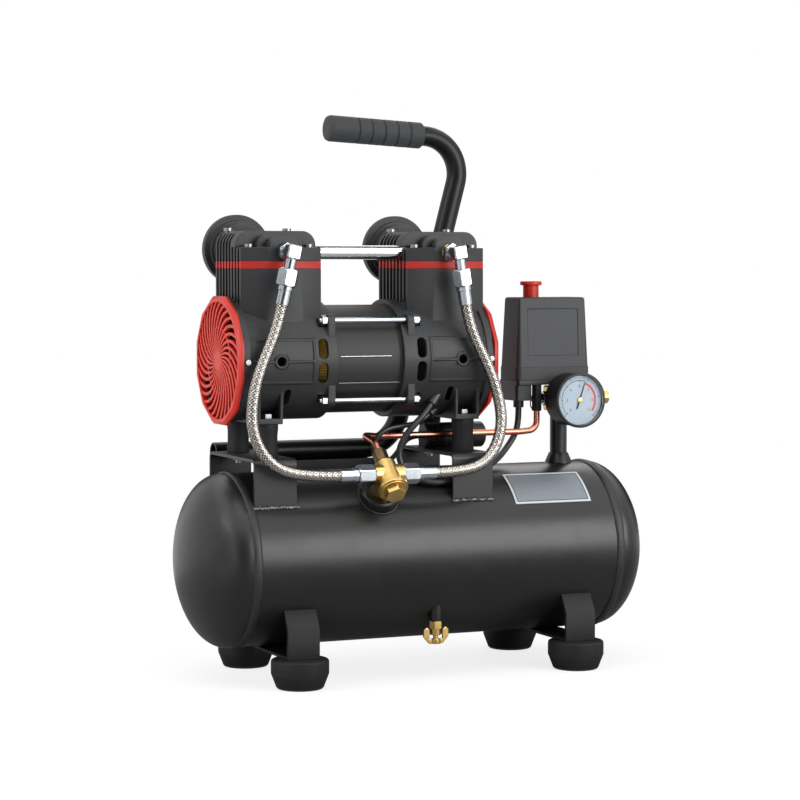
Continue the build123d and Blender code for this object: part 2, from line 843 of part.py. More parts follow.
def fin_slots(side, z0, z1, first=0):
    slots = []
    for face in (-1, 1):
        outer = pump_x + side * tower_offset + face * (tower_half_width + past)
        inner = pump_x + side * tower_offset + face * (tower_half_width - fin_slot_depth)
        for index in range(first, fin_count):
            y = (index - (fin_count - 1) / 2) * fin_pitch
            slots.append(span_x(outer, inner, y - fin_slot_width / 2, y + fin_slot_width / 2, z0, z1))
    return slots


def head_bolt_places(side):
    x = pump_x + side * tower_offset
    seats = {-1: block_top, 1: hump_top}
    return [(x + a * head_bolt_x, b * head_bolt_y, seats[b]) for a in (-1, 1) for b in (-1, 1)]


def crankcase(side):
    inner = case_radius - case_wall
    start, end = barrel_ends[side], case_ends[side]
    case = rod(case_radius, pump_at(side, start), pump_at(side, end))
    case += rod(flange_radius, pump_at(side, end - flange_width), pump_at(side, end))
    case += xy_prism(tower_plan(side), shaft_z, tower_top)
    for face in (-1, 1):
        for level in (-1, 1):
            case += rod_lug(side, face, level)
    case += case_feet(side)
    case += front_panel(side)

    seat_end = bulkhead_start + bearing_width
    cavity = rod(inner, pump_at(side, start + case_lip), pump_at(side, bulkhead_start))
    cavity += rod(case_lip_radius, pump_at(side, start), pump_at(side, bulkhead_start))
    cavity += rod(inner, pump_at(side, bulkhead_start + bulkhead_thickness), pump_at(side, end))
    hub_radius = bearing_radius + bearing_hub_wall
    hub = rod(hub_radius, pump_at(side, bulkhead_start), pump_at(side, seat_end))
    case = case - cavity + hub
    case -= rod(bearing_radius + fit_gap, pump_at(side, bulkhead_start - past),
                pump_at(side, seat_end + past))

    x = pump_x + side * tower_offset
    sleeve_outer = sleeve_bore + sleeve_wall
    case -= rod(sleeve_outer - sleeve_wall / 2, (x, 0, shaft_z + hub_radius), (x, 0, tower_top))
    case -= rod(sleeve_outer + fit_gap, (x, 0, tower_top - sleeve_length), (x, 0, tower_top))
    for slot in fin_slots(side, shaft_z + fin_base_over_shaft, tower_top):
        case -= slot
    for y in (-rod_y, rod_y):
        for z in (shaft_z - rod_z, shaft_z + rod_z):
            case -= rod(rod_radius + bolt_gap, pump_at(side, rod_lug_start - past, y, z),
                        pump_at(side, rod_lug_end + past, y, z))
            case -= rod(corner_radius(rod_nut_flats) + rod_pocket_gap, pump_at(side, rod_lug_end, y, z),
                        pump_at(side, rod_lug_end + rod_tail + past, y, z))
    for bolt_x, bolt_y, _ in head_bolt_places(side):
        case -= rod(head_bolt_radius + bolt_gap, (bolt_x, bolt_y, tower_top - head_bolt_depth - past),
                    (bolt_x, bolt_y, tower_top))
    for rise in (-vent_rise, vent_rise):
        vent = Rot(Z=90) * SlotOverall(vent_height, vent_width)
        vent = Pos(pump_x + side * vent_offset, shaft_z + rise) * vent
        case -= xz_prism(vent, inner / 2, case_radius + past)
        case -= xz_prism(vent, -case_radius - past, -inner / 2)
    case -= rod(peep_radius, pump_at(side, peep_offset, -inner / 2),
                pump_at(side, peep_offset, -2 * case_radius))
    slot = Rot(Z=90) * SlotOverall(slot_height, slot_width)
    slot = Pos(pump_x + side * slot_offset, shaft_z - slot_drop) * slot
    return case - xz_prism(slot, -case_radius, -inner / 2)


def rod_lug(side, face, level):
    # A round lug for a tie rod, with an ear that runs down the front of the drum
    y, z = face * rod_y, shaft_z + level * rod_z
    lug = rod(rod_lug_radius, pump_at(side, rod_lug_start, y, z), pump_at(side, rod_lug_end, y, z))
    outer = face * (rod_y + rod_lug_radius)
    root = z - level * rod_ear_length
    return lug + span_x(pump_x + side * rod_lug_start, pump_x + side * rod_lug_end, min(y, outer),
                        max(y, outer), min(z, root), max(z, root))


def case_feet(side):
    feet = Part()
    centre = pump_x + side * bracket_offset
    for face in (-1, 1):
        near, far = face * (damper_y - damper_radius), face * (damper_y + damper_radius)
        y0, y1 = min(near, far), max(near, far)
        foot = span_x(centre - lug_half_width, centre + lug_half_width, y0, y1, lug_z, lug_z + lug_thickness)
        foot -= rod(bolt_radius + bolt_gap, (centre, face * damper_y, lug_z - past),
                    (centre, face * damper_y, lug_z + lug_thickness + past))
        for edge in (-1, 1):
            outer = centre + edge * lug_half_width
            foot += span_x(outer, outer - edge * lug_wall, y0, y1, lug_z, shaft_z - case_radius / 2)
        feet += foot
    # A flat under the drum ties the two foot plates together
    tie = span_x(centre - lug_half_width, centre + lug_half_width, damper_radius - damper_y,
                 damper_y - damper_radius, lug_z, shaft_z - case_radius / 2)
    return feet + tie


def front_panel(side):
    # Raised ribs that frame the panels on the front of the drum, and the peep hole's boss
    flange_start = case_ends[side] - flange_width
    proud = ring(case_radius + panel_rib, case_radius - panel_rib, pump_at(side, bulkhead_start),
                 pump_at(side, flange_start))
    start, end = pump_x + side * bulkhead_start, pump_x + side * flange_start
    half = panel_rib_width / 2
    frame = Part()
    for z in (-panel_half_height, 0, panel_half_height):
        frame += span_x(start, end, -2 * case_radius, 0, shaft_z + z - half, shaft_z + z + half)
    for x in (start + side * half, end - side * half):
        frame += span_x(x - half, x + half, -2 * case_radius, 0, shaft_z - panel_half_height,
                        shaft_z + panel_half_height)
    boss = rod(peep_boss_radius, pump_at(side, peep_offset, 2 * panel_rib - case_radius),
               pump_at(side, peep_offset, -case_radius - panel_rib))
    return (proud & frame) + boss


def pump_group():
    parts["crankcases"] = [crankcase(side) for side in (-1, 1)]
    rods = []
    for y in (-rod_y, rod_y):
        for z in (shaft_z - rod_z, shaft_z + rod_z):
            bar = rod(rod_radius, pump_at(-1, rod_lug_end + rod_tail, y, z),
                      pump_at(1, rod_lug_end + rod_tail, y, z))
            for side in (-1, 1):
                bar += hex_bar(rod_nut_flats, pump_at(side, rod_lug_end, y, z),
                               pump_at(side, rod_lug_end + rod_nut_height, y, z))
            rods.append(bar)
    parts["tie_rods"] = rods

    sleeves, bands, heads, screws = [], [], [], []
    for side in (-1, 1):
        x = pump_x + side * tower_offset
        outer = sleeve_bore + sleeve_wall
        sleeves.append(ring(outer, sleeve_bore, (x, 0, tower_top - sleeve_length), (x, 0, tower_top)))
        bands.append(valve_band(side))
        heads.append(cylinder_head(side))
        for bolt_x, bolt_y, seat in head_bolt_places(side):
            place = (bolt_x, bolt_y)
            bolt = rod(head_bolt_radius, (*place, tower_top - head_bolt_depth), (*place, seat))
            bolt += rod(head_bolt_head_radius, (*place, seat), (*place, seat + head_bolt_head))
            bolt -= hex_bar(head_bolt_flats, (*place, seat + head_bolt_head / 3),
                            (*place, seat + head_bolt_head + past))
            screws.append(bolt)
        for face in (-1, 1):
            screws.append(cover_screw(side, face))
    parts["cylinder_sleeves"] = sleeves
    parts["valve_plates"] = bands
    parts["cylinder_heads"] = heads
    parts["pump_screws"] = screws
    parts["fan_covers"] = [fan_cover(side) for side in (-1, 1)]


def cover_screw(side, face):
    # A pan head on the front and back of the flange that carries the fan cover
    y = face * flange_radius
    x = pump_x + side * (case_ends[side] - flange_width / 2)
    return rod(cover_screw_radius, (x, y + face * weld_gap, shaft_z),
               (x, y + face * cover_screw_radius, shaft_z))


def valve_band(side):
    band = xy_prism(tower_plan(side), tower_top, band_top)
    for slot in fin_slots(side, tower_top, band_top):
        band -= slot
    x = pump_x + side * tower_offset
    for y in (-valve_hole_y, valve_hole_y):
        band -= rod(valve_hole_radius, (x, y, tower_top), (x, y, band_top))
    for bolt_x, bolt_y, _ in head_bolt_places(side):
        band -= rod(head_bolt_radius + bolt_gap, (bolt_x, bolt_y, tower_top), (bolt_x, bolt_y, band_top))
    return band


def cylinder_head(side):
    x = pump_x + side * tower_offset
    head = xy_prism(tower_plan(side), band_top, block_top)

    def hump(half, top, y0, y1):
        face = Pos(x, (band_top + top) / 2) * Rectangle(2 * half, top - band_top)
        face = fillet(face.vertices().group_by(Axis.Y)[-1], min(hump_corner, half / 2))
        return xz_prism(face, y0, y1)

    head += hump(tower_half_width, hump_top, hump_front, tower_half_depth)
    back = hump_front
    for front, half, drop in zip((step_back, tower_front), step_half_widths, step_drops):
        head += hump(half - step_groove, hump_top - drop - step_groove, back - step_groove, back)
        head += hump(half, hump_top - drop, front, back - step_groove)
        back = front
    for slot in fin_slots(side, band_top, block_top) + fin_slots(side, block_top, hump_top, hump_solid_fins):
        head -= slot
    roof = block_top + chamber_rise
    w = chamber_half_width
    head -= block((x - w, chamber_front, band_top), (x + w, -chamber_rib / 2, block_top))
    head -= block((x - w, chamber_rib / 2, band_top), (x + w, tower_half_depth - 2 * chamber_rib, roof))
    head -= rod(filter_neck_radius / 2, (x, chamber_rib, filter_z), (x, tower_half_depth + past, filter_z))
    head -= rod(elbow_pipe_radius / 2, (x, -chamber_rib, port_z), (x, tower_front - past, port_z))
    inner_face = x - side * tower_half_width
    head -= rod(crossover_radius + bolt_gap, (inner_face, crossover_y, port_z),
                (inner_face + side * (crossover_insert + fin_slot_depth), crossover_y, port_z))
    head -= rod(crossover_radius / 2, (inner_face, crossover_y, port_z), (x, crossover_y, port_z))
    for bolt_x, bolt_y, seat in head_bolt_places(side):
        head -= rod(head_bolt_radius + bolt_gap, (bolt_x, bolt_y, band_top), (bolt_x, bolt_y, seat))
    return head


def cover_point(side, radius, angle):
    # Angles run clockwise from the top, seen from outside the cover
    return (side * radius * sin(radians(angle)), shaft_z + radius * cos(radians(angle)))


def cover_rib(side, angle):
    # Radius, share of the sweep and width at the hub, the middle ring and the rim
    stations = ((cover_hub_radius - cover_rib_root, 0.0, cover_rib_root_width),
                (cover_mid_radius, cover_mid_share, cover_rib_mid_width),
                (cover_rim_inner + cover_rib_root, 1.0, cover_rib_rim_width))
    edges = []
    for shift in (-1, 1):
        points = []
        for radius, share, width in stations:
            half_rib = degrees(width / 2 / radius)
            points.append(cover_point(side, radius, angle + cover_rib_sweep * share + shift * half_rib))
        edges.append(points)
    a, b = edges
    outline = [ThreePointArc(*a), Line(a[2], b[2]), ThreePointArc(b[2], b[1], b[0]), Line(b[0], a[0])]
    return make_face(outline)


def fan_cover(side):
    start = pump_x + side * case_ends[side]
    plane = Plane(origin=(start, 0, shaft_z), z_dir=(side, 0, 0))
    rim_end = start + side * cover_rim_depth
    front = start + side * cover_dome_depth
    polygon_rim = Pos(0, shaft_z) * Rot(Z=180 / cover_sides) * RegularPolygon(cover_radius, cover_sides)
    rim = yz_prism(polygon_rim, start, rim_end)
    outer_edges = rim.faces().sort_by(Axis((0, 0, 0), (side, 0, 0)))[-1].edges()
    rim = chamfer(outer_edges, cover_rim_depth / 2)
    rim -= rod(cover_rim_inner, (start - side * past, 0, shaft_z), (rim_end + side * past, 0, shaft_z))

    low = cover_dome_depth - cover_rib_depth
    reach = cover_rim_inner + cover_lip
    dome = [(0, low), (cover_shoulder, low), (reach, 0), (reach, cover_rim_depth - cover_lip),
            (cover_shoulder, cover_dome_depth), (0, cover_dome_depth)]
    dome = plane * turned(dome, Axis.Z)
    ribs = Part()
    for index in range(cover_ribs):
        ribs += yz_prism(cover_rib(side, index * 360 / cover_ribs), start, front)
    grille = ribs & dome
    hub_start = front - side * cover_rib_depth
    grille += rod(cover_hub_radius, (hub_start, 0, shaft_z), (front, 0, shaft_z))
    grille += ring(cover_mid_radius + cover_mid_width / 2, cover_mid_radius - cover_mid_width / 2,
                   (hub_start, 0, shaft_z), (hub_start + side * cover_hub_depth, 0, shaft_z))
    return rim + grille


def air_line_group():
    filters, fittings = [], []
    for side in (-1, 1):
        x = pump_x + side * tower_offset
        filters.append(intake_filter(x))
        fittings += head_fittings(side)
    for side in (-1, 1):
        fittings += valve_fittings(side)
    parts["intake_filters"] = filters
    parts["hose_fittings"] = fittings
    reach = tower_offset - tower_half_width + crossover_insert
    parts["crossover_tube"] = [ring(crossover_radius, crossover_radius - crossover_wall,
                                    pump_at(-1, reach, crossover_y, port_z),
                                    pump_at(1, reach, crossover_y, port_z))]
    parts["hose_left"] = [cord("hose_left", hose_route(-1), hose_radius)]
    parts["hose_right"] = [cord("hose_right", hose_route(1), hose_radius)]


def intake_filter(x):
    steps = [(0, tower_half_depth), (filter_neck_radius, tower_half_depth)]
    radius = filter_neck_radius
    for front, next_radius in zip(filter_fronts, filter_radii):
        steps += [(radius, front), (next_radius, front)]
        radius = next_radius
    steps += [(radius, filter_back - filter_vent), (radius - filter_vent, filter_back), (0, filter_back)]
    plane = Plane(origin=(x, 0, filter_z), x_dir=(1, 0, 0), z_dir=(0, 1, 0))
    body = plane * turned(steps, Axis.Z)
    for radius in filter_radii[:-1]:
        groove = ring(radius + filter_vent, radius - filter_vent, (x, filter_back - filter_vent, filter_z),
                      (x, filter_back, filter_z))
        body -= groove
    inlet_end = (filter_fronts[0] + filter_back) / 2
    return body - rod(filter_neck_radius / 2, (x, tower_half_depth, filter_z), (x, inlet_end, filter_z))


def elbow_centre(side):
    return Vector(pump_x + side * tower_offset, elbow_y, port_z)


def elbow_axis(side):
    tilt = radians(elbow_tilts[side])
    return Vector(side * sin(tilt), 0, -cos(tilt))


def hose_start(side):
    reach = nut_start + nut_length + ferrule_ring_length + ferrule_length
    return elbow_centre(side) + elbow_axis(side) * reach


def fitting_chain(origin, axis, start):
    nut_end = start + nut_length
    ring_end = nut_end + ferrule_ring_length
    nut = hex_bar(nut_flats, origin + axis * start, origin + axis * nut_end)
    nut = nut & turned_nut(origin + axis * start, axis, nut_length)
    collar = rod(ferrule_ring_radius, origin + axis * nut_end, origin + axis * ring_end)
    sleeve = rod(ferrule_radius, origin + axis * ring_end, origin + axis * (ring_end + ferrule_length))
    return [nut, collar + sleeve]


def turned_nut(start, axis, length):
    # The chamfered envelope of a hex nut
    corner, cut = corner_radius(nut_flats), nut_chamfer
    profile = [(0, 0), (corner - cut, 0), (corner, cut), (corner, length - cut), (corner - cut, length),
               (0, length)]
    return Plane(origin=start, z_dir=axis) * turned(profile, Axis.Z)


def head_fittings(side):
    centre, axis = elbow_centre(side), elbow_axis(side)
    head_front = Vector(centre.X, tower_front, port_z)
    inlet = Vector(0, 1, 0)
    half = elbow_block / 2
    elbow = Plane(origin=centre, x_dir=(0, 1, 0), z_dir=axis) * Box(elbow_block, elbow_block, elbow_block)
    elbow = chamfer(elbow.edges(), elbow_edge)
    elbow += rod(elbow_pipe_radius, centre, head_front)
    elbow += hex_bar(elbow_collar_flats, head_front - inlet * (elbow_collar_gap + elbow_collar_length),
                     head_front - inlet * elbow_collar_gap)
    elbow += rod(elbow_neck_radius, centre + axis * half, centre + axis * nut_start)
    return [elbow] + fitting_chain(centre, axis, nut_start)


def valve_fittings(side):
    return fitting_chain(valve_centre, Vector(side, 0, 0), valve_arm_length)


def hose_end(side):
    reach = valve_arm_length + nut_length + ferrule_ring_length + ferrule_length
    return valve_centre + Vector(side * reach, 0, 0)


def hose_route(side):
    # The route leaves the elbow in line with its nut and reaches the valve in line with its arm
    start, end = hose_start(side), hose_end(side)
    first = start + elbow_axis(side) * hose_first_run
    last = end + Vector(side * hose_last_run, 0, 0)
    bends = []
    for (reach, height), share in zip(hose_bends[side], hose_shares):
        y = elbow_y + share * (valve_y - elbow_y)
        bends.append((pump_x + side * reach, y, tank_top + height))
    return [start, first] + bends + [last, end]


def valve_group():
    c = valve_centre
    along = Vector(1, 0, 0)
    collar_end = valve_collar_start + valve_collar_length
    body = rod(valve_body_radius, c - valve_axis * valve_body_radius, c + valve_axis * collar_end)
    body += rod(valve_collar_radius, c + valve_axis * valve_collar_start, c + valve_axis * collar_end)
    body += rod(valve_arm_radius, c - along * valve_arm_length, c + along * valve_arm_length)
    boss_face = Vector(valve_x, 0, tank_z) + valve_out * (tank_radius + valve_boss_height)
    body += rod(valve_neck_radius, boss_face, c)
    body += rod(valve_stem_radius, boss_face - valve_out * valve_boss_height, c)
    body += rod(valve_port_radius, c, c - valve_axis * valve_nut_start)
    nut_end = valve_nut_start + valve_nut_length
    port = c - valve_axis * (nut_end - copper_insert)
    body += hex_bar(valve_nut_flats, c - valve_axis * valve_nut_start, c - valve_axis * nut_end)
    body -= rod(copper_radius + bolt_gap, port, c - valve_axis * (nut_end + past))
    body -= rod(valve_bore, c, c + valve_axis * collar_end)
    body -= rod(valve_stem_bore, boss_face - valve_out * (valve_boss_height + past), c)
    body -= rod(valve_arm_bore, c - along * (valve_arm_length + past), c + along * (valve_arm_length + past))
    parts["check_valve_body"] = [body]

    washer_end = collar_end + cap_washer
    cap_end = washer_end + valve_cap_length
    cap = hex_bar(valve_cap_flats, c + valve_axis * washer_end, c + valve_axis * cap_end)
    cap += rod(cap_washer_radius, c + valve_axis * collar_end, c + valve_axis * washer_end)
    cap += rod(valve_bore - weld_gap, c + valve_axis * (collar_end - cap_thread), c + valve_axis * washer_end)
    parts["check_valve_cap"] = [cap]

    run_z = bracket_top + copper_rise
    points = [port, port - valve_axis * copper_first_run,
              (valve_x, unloader_y - copper_setback, run_z + copper_dip),
              (valve_x + copper_turn, unloader_y - copper_setback / 3, run_z),
              (unloader_x - copper_lead_in, unloader_y, run_z),
              (unloader_x, unloader_y, run_z + copper_dip),
              (unloader_x, unloader_y, unloader_bottom() + copper_insert)]
    path = FilletPolyline(*points, radius=copper_bends)
    parts["unloader_tube"] = [pipe(path, copper_radius, copper_radius - copper_wall)]


def unloader_bottom():
    return base_z - unloader_drop


def switch_group():
    foot = tank_z + tank_radius + seat_gap
    riser = ring(riser_radius, riser_radius - riser_wall, (riser_x, 0, foot), (riser_x, 0, riser_top))
    parts["riser_pipe"] = [riser]

    m = manifold_half
    top = riser_top + manifold_height
    manifold = block((riser_x - m, -m, riser_top), (riser_x + m, m, top))
    manifold = chamfer(manifold.edges(), manifold_edge)
    manifold += rod(manifold_neck, (riser_x, 0, top), (riser_x, 0, base_z))
    manifold -= rod(riser_radius - riser_wall, (riser_x, 0, riser_top - past), (riser_x, 0, base_z + past))
    manifold -= rod(outlet_bore, (riser_x - m - past, 0, manifold_z), (riser_x + m + past, 0, manifold_z))
    manifold -= rod(outlet_bore, (riser_x, -m - past, manifold_z), (riser_x, 0, manifold_z))
    parts["manifold"] = [manifold]

    depth = switch_half_depth
    base = block((switch_left, -depth, base_z), (switch_right, depth, cover_z))
    box_bottom = base_z - terminal_height
    base += block((switch_left, switch_wall - depth, box_bottom),
                  (switch_left + terminal_width, depth - switch_wall, base_z))
    base = chamfer(base.edges().filter_by(Axis.Z), base_edge)
    base -= rod(riser_radius - riser_wall, (riser_x, 0, base_z - past), (riser_x, 0, cover_z + past))
    parts["switch_base"] = [base]
    parts["switch_cover"] = [switch_cover()]

    contact_left = knob_x + knob_flange_radius + switch_wall
    half = contact_block_depth / 2
    contacts = block((contact_left, -half, cover_z), (riser_x + m, half, cover_z + contact_block_height))
    half = contact_arm_depth / 2
    contacts += block((contact_left, -half, cover_z), (contact_left + m, half, cover_z + contact_arm_height))
    parts["switch_contacts"] = [contacts]

    knob_top = switch_top + knob_rise
    knob = rod(knob_flange_radius, (knob_x, 0, knob_top - knob_flange_height), (knob_x, 0, knob_top))
    knob = chamfer(knob.edges().filter_by(GeomType.CIRCLE), knob_edge)
    knob += rod(knob_stem_radius, (knob_x, 0, switch_top - knob_depth),
                (knob_x, 0, knob_top - knob_flange_height))
    parts["switch_knob"] = [knob]

    tail = unloader_bottom()
    unloader = hex_bar(unloader_flats, (unloader_x, unloader_y, tail), (unloader_x, unloader_y, base_z))
    unloader -= rod(copper_radius + bolt_gap, (unloader_x, unloader_y, tail - past),
                    (unloader_x, unloader_y, tail + copper_insert))
    parts["unloader_valve"] = [unloader]
    safety_and_outlet()


def switch_cover():
    depth = switch_half_depth
    flange_top = cover_z + switch_flange_height
    middle = (switch_left + switch_right) / 2
    width = switch_right - switch_left

    def slab(inset, z):
        corner = max(switch_edge - inset, switch_least_corner)
        face = RectangleRounded(width - 2 * inset, 2 * depth - 2 * inset, corner)
        return Plane.XY.offset(z) * (Pos(middle, 0) * face)

    def upper(inset, top):
        return loft([slab(switch_step + inset, flange_top), slab(switch_draft + inset, top)])

    outer = extrude(slab(0, cover_z), amount=switch_flange_height)
    outer += upper(0, switch_top)
    outer = fillet(outer.faces().sort_by(Axis.Z)[-1].edges(), switch_top_edge)
    inner = extrude(slab(switch_wall, cover_z), amount=switch_flange_height)
    inner += upper(switch_wall, switch_top - switch_wall)
    cover = outer - inner
    panel = block((switch_left + panel_side, -depth - past, flange_top + panel_margin),
                  (switch_right - panel_side, -depth / 2, switch_top - panel_margin))
    cover -= panel & (outer - upper(panel_recess, switch_top))
    return cover - rod(knob_stem_radius + slip_gap, (knob_x, 0, flange_top), (knob_x, 0, switch_top + past))


def safety_and_outlet():
    left = riser_x - manifold_half
    tip = left - safety_length
    valve = hex_bar(safety_flats, (left, 0, manifold_z), (left - safety_length / 2, 0, manifold_z))
    valve += rod(safety_radius, (left, 0, manifold_z), (tip, 0, manifold_z))
    parts["safety_valve"] = [valve]
    # The pull pin and its ring move together along the valve
    end = tip - safety_tip_length
    pull = rod(safety_tip_radius, (tip, 0, manifold_z), (end, 0, manifold_z))
    wire = Plane(origin=(end + safety_ring_wire, 0, manifold_z - safety_ring_radius), x_dir=(0, 1, 0),
                 z_dir=(1, 0, 0)) * Torus(safety_ring_radius, safety_ring_wire)
    parts["safety_ring"] = [pull + wire]

    right = riser_x + manifold_half
    hex_end = right + outlet_hex_length
    end = right + outlet_length
    outlet = hex_bar(outlet_flats, (right, 0, manifold_z), (hex_end, 0, manifold_z))
    outlet += rod(outlet_thread_radius, (hex_end, 0, manifold_z), (end, 0, manifold_z))
    outlet -= rod(outlet_bore, (right, 0, manifold_z), (end, 0, manifold_z))
    parts["air_outlet"] = [outlet]


def gauge_group():
    def on_axis(y):
        return (riser_x, y, manifold_z)

    back = gauge_front + gauge_depth
    bezel_end = gauge_front + gauge_bezel_width
    case = rod(gauge_case_radius, on_axis(bezel_end), on_axis(back))
    case += rod(gauge_bezel_radius, on_axis(gauge_front), on_axis(bezel_end))
    case = chamfer(case.edges().filter_by(GeomType.CIRCLE).sort_by(Axis.Y)[0], gauge_edge)
    dial_radius = gauge_case_radius - gauge_wall
    dial_y = gauge_front + dial_recess
    case -= rod(gauge_bezel_radius - gauge_bezel_lip, on_axis(gauge_front), on_axis(dial_y))
    case -= rod(dial_radius, on_axis(dial_y), on_axis(back - gauge_wall))
    case += rod(gauge_stem_radius, on_axis(back), on_axis(-manifold_half))
    case += hex_bar(gauge_hex_flats, on_axis(back), on_axis(back + gauge_hex_length))
    parts["gauge_case"] = [case]
    dial_back = dial_y + weld_gap + dial_thickness
    face = rod(dial_radius - weld_gap, on_axis(dial_y + weld_gap), on_axis(dial_back))
    face -= rod(needle_pin_radius + fit_gap, on_axis(dial_y), on_axis(dial_back + past))
    parts["gauge_dial"] = [face]
    lens_radius = gauge_bezel_radius - gauge_bezel_lip - weld_gap
    lens_y = gauge_front + lens_recess
    parts["gauge_lens"] = [rod(lens_radius, on_axis(lens_y), on_axis(lens_y + lens_thickness))]

    front = dial_y - needle_gap - needle_thickness
    tilt = radians(needle_rest)
    lean = Vector(sin(tilt), 0, cos(tilt))
    across = Vector(cos(tilt), 0, -sin(tilt)) * (needle_width / 2)
    hub = Vector(on_axis(0))
    tip = hub + lean * needle_length
    tail = hub - lean * needle_tail
    corners = [tip + across * needle_taper, tip - across * needle_taper, tail - across, tail + across]
    needle = xz_prism(polygon(*[(c.X, c.Z) for c in corners]), front, front + needle_thickness)
    needle += rod(needle_hub_radius, on_axis(front - needle_hub_height), on_axis(front + needle_thickness))
    needle += rod(needle_pin_radius, on_axis(front), on_axis(dial_back + needle_gap))
    parts["gauge_needle"] = [needle]


def drain_group():
    def at(z):
        return (drain_x, drain_y, z)

    hex_bottom = drain_stub_bottom - drain_hex_length
    barrel_bottom = hex_bottom - drain_barrel_length
    body = hex_bar(drain_flats, at(hex_bottom), at(drain_stub_bottom))
    body += rod(drain_barrel_radius, at(barrel_bottom), at(hex_bottom))
    body -= rod(drain_stem_radius + fit_gap, at(barrel_bottom - past), at(drain_stub_bottom + past))
    parts["drain_body"] = [body]
    foot_top = wing_bottom + wing_foot
    screw = rod(drain_stem_radius, at(foot_top), at(hex_bottom))
    screw += rod(drain_barrel_radius, at(wing_bottom), at(foot_top))
    wing = [(wing_inner, foot_top), (wing_inner, wing_top - wing_edge), (wing_inner + wing_edge, wing_top),
            (wing_reach - wing_edge, wing_top), (wing_reach, wing_top - wing_edge),
            (wing_reach, foot_top + wing_edge), (wing_inner, wing_bottom), (0, wing_bottom), (0, foot_top)]
    for side in (-1, 1):
        outline = polygon(*[(drain_x + side * x, z) for x, z in wing])
        screw += xz_prism(outline, drain_y - wing_thickness / 2, drain_y + wing_thickness / 2)
    parts["drain_screw"] = [screw]


def handle_group():
    corners = [(handle_start_x, handle_base_z), (handle_foot_x, handle_base_z), (handle_top_x, handle_top_z),
               (handle_end_x, handle_end_z)]
    points = [(x, handle_y, z) for x, z in corners]
    path = FilletPolyline(*points, radius=[handle_foot_bend, handle_top_bend])
    parts["handle_tube"] = [pipe(path, handle_radius, handle_radius - handle_wall)]

    end = Vector(points[-1])
    along = (Vector(points[-2]) - end).normalized()
    tip = end - along * grip_end
    profile = [(0, 0), (grip_radius - grip_nose, 0), (grip_radius - grip_edge, grip_edge),
               (grip_radius, grip_nose)]
    for index in range(grip_grooves):
        z = grip_groove_start + index * grip_groove_pitch
        low = grip_radius - grip_groove_depth
        profile += [(grip_radius, z), (low, z + grip_groove_slant),
                    (low, z + grip_groove_width - grip_groove_slant), (grip_radius, z + grip_groove_width)]
    profile += [(grip_radius, grip_length - grip_tail), (grip_radius - grip_tail, grip_length),
                (0, grip_length)]
    grip = Plane(origin=tip, z_dir=along) * turned(profile, Axis.Z)
    grip -= rod(handle_radius + weld_gap, end - along * weld_gap, tip + along * (grip_length + past))
    parts["handle_grip"] = [grip]


def wiring_group():
    axis = (capacitor_y, capacitor_z)
    body = rod(capacitor_radius, (capacitor_left, *axis), (capacitor_right, *axis))
    body = chamfer(body.edges().filter_by(GeomType.CIRCLE), capacitor_edge)
    for index in range(capacitor_grooves):
        x = capacitor_left + capacitor_groove_start + index * capacitor_groove_pitch
        body -= ring(capacitor_radius + past, capacitor_radius - capacitor_rib, (x, *axis),
                     (x + capacitor_groove_pitch / 2, *axis))
    parts["capacitor"] = [body]

    gland_top = base_z - terminal_height
    gland_x = switch_left + terminal_width - gland_radius - gland_edge
    gland_end = Vector(gland_x, 0, gland_top - gland_length)
    glands = [rod(gland_radius, (gland_x, 0, gland_top), gland_end)]

    motor_out = Vector(-0.60, -0.10, -0.79).normalized()
    small_out = Vector(-0.80, -0.20, -0.56).normalized()
    motor_end, motor_grommet = case_exit(motor_exit_x, motor_exit_angle, motor_out)
    small_end, small_grommet = case_exit(small_exit_x, small_exit_angle, small_out)
    parts["cable_glands"] = glands + [motor_grommet, small_grommet]

    motor_route = [gland_end, gland_end - Vector(0, 0, gland_run)]
    motor_route += [over_tank(*bend) for bend in motor_bends]
    motor_route += [motor_end + motor_out * lead_first_run, motor_end]
    parts["motor_lead"] = [cord("motor_lead", motor_route, lead_radius)]
    socket = Vector(capacitor_left, capacitor_y, capacitor_z)
    small_route = [small_end, small_end + small_out * small_first_run]
    small_route += [over_tank(*bend) for bend in small_bends]
    small_route += [socket - Vector(small_first_run, 0, 0), socket]
    parts["capacitor_lead"] = [cord("capacitor_lead", small_route, small_lead_radius)]


def over_tank(x, y, height):
    return Vector(x, y, tank_z + sqrt(tank_radius ** 2 - y ** 2) + height)


def case_exit(x, angle, out):
    # The outer end of a slanted grommet on the underside of the right drum, and the grommet
    seat = Vector(x, -case_radius * sin(radians(angle)), shaft_z - case_radius * cos(radians(angle)))
    end = seat + out * grommet_length
    grommet = rod(gland_radius, seat - out * 2 * grommet_length, end)
    drum = rod(case_radius + weld_gap, pump_at(1, barrel_ends[1]), pump_at(1, case_ends[1]))
    return end, grommet - drum


def build():
    tank_group()
    parts["mount_bolts"] = foot_group() + bracket_group()
    motor_group()
    piston_group()
    pump_group()
    air_line_group()
    valve_group()
    switch_group()
    gauge_group()
    drain_group()
    handle_group()
    wiring_group()
    os.makedirs("parts", exist_ok=True)
    for name, solids in parts.items():
        shape = solids[0] if len(solids) == 1 else Compound(children=[s.solid() for s in solids])
        export_step(shape, "parts/" + name + ".step")
    print(len(parts), "nodes")


build()
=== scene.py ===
import bpy
import json
import random
import numpy as np
from math import acos, asin, cos, pi, radians, sin, sqrt, tau
from mathutils import Matrix, Vector
from mathutils.bvhtree import BVHTree

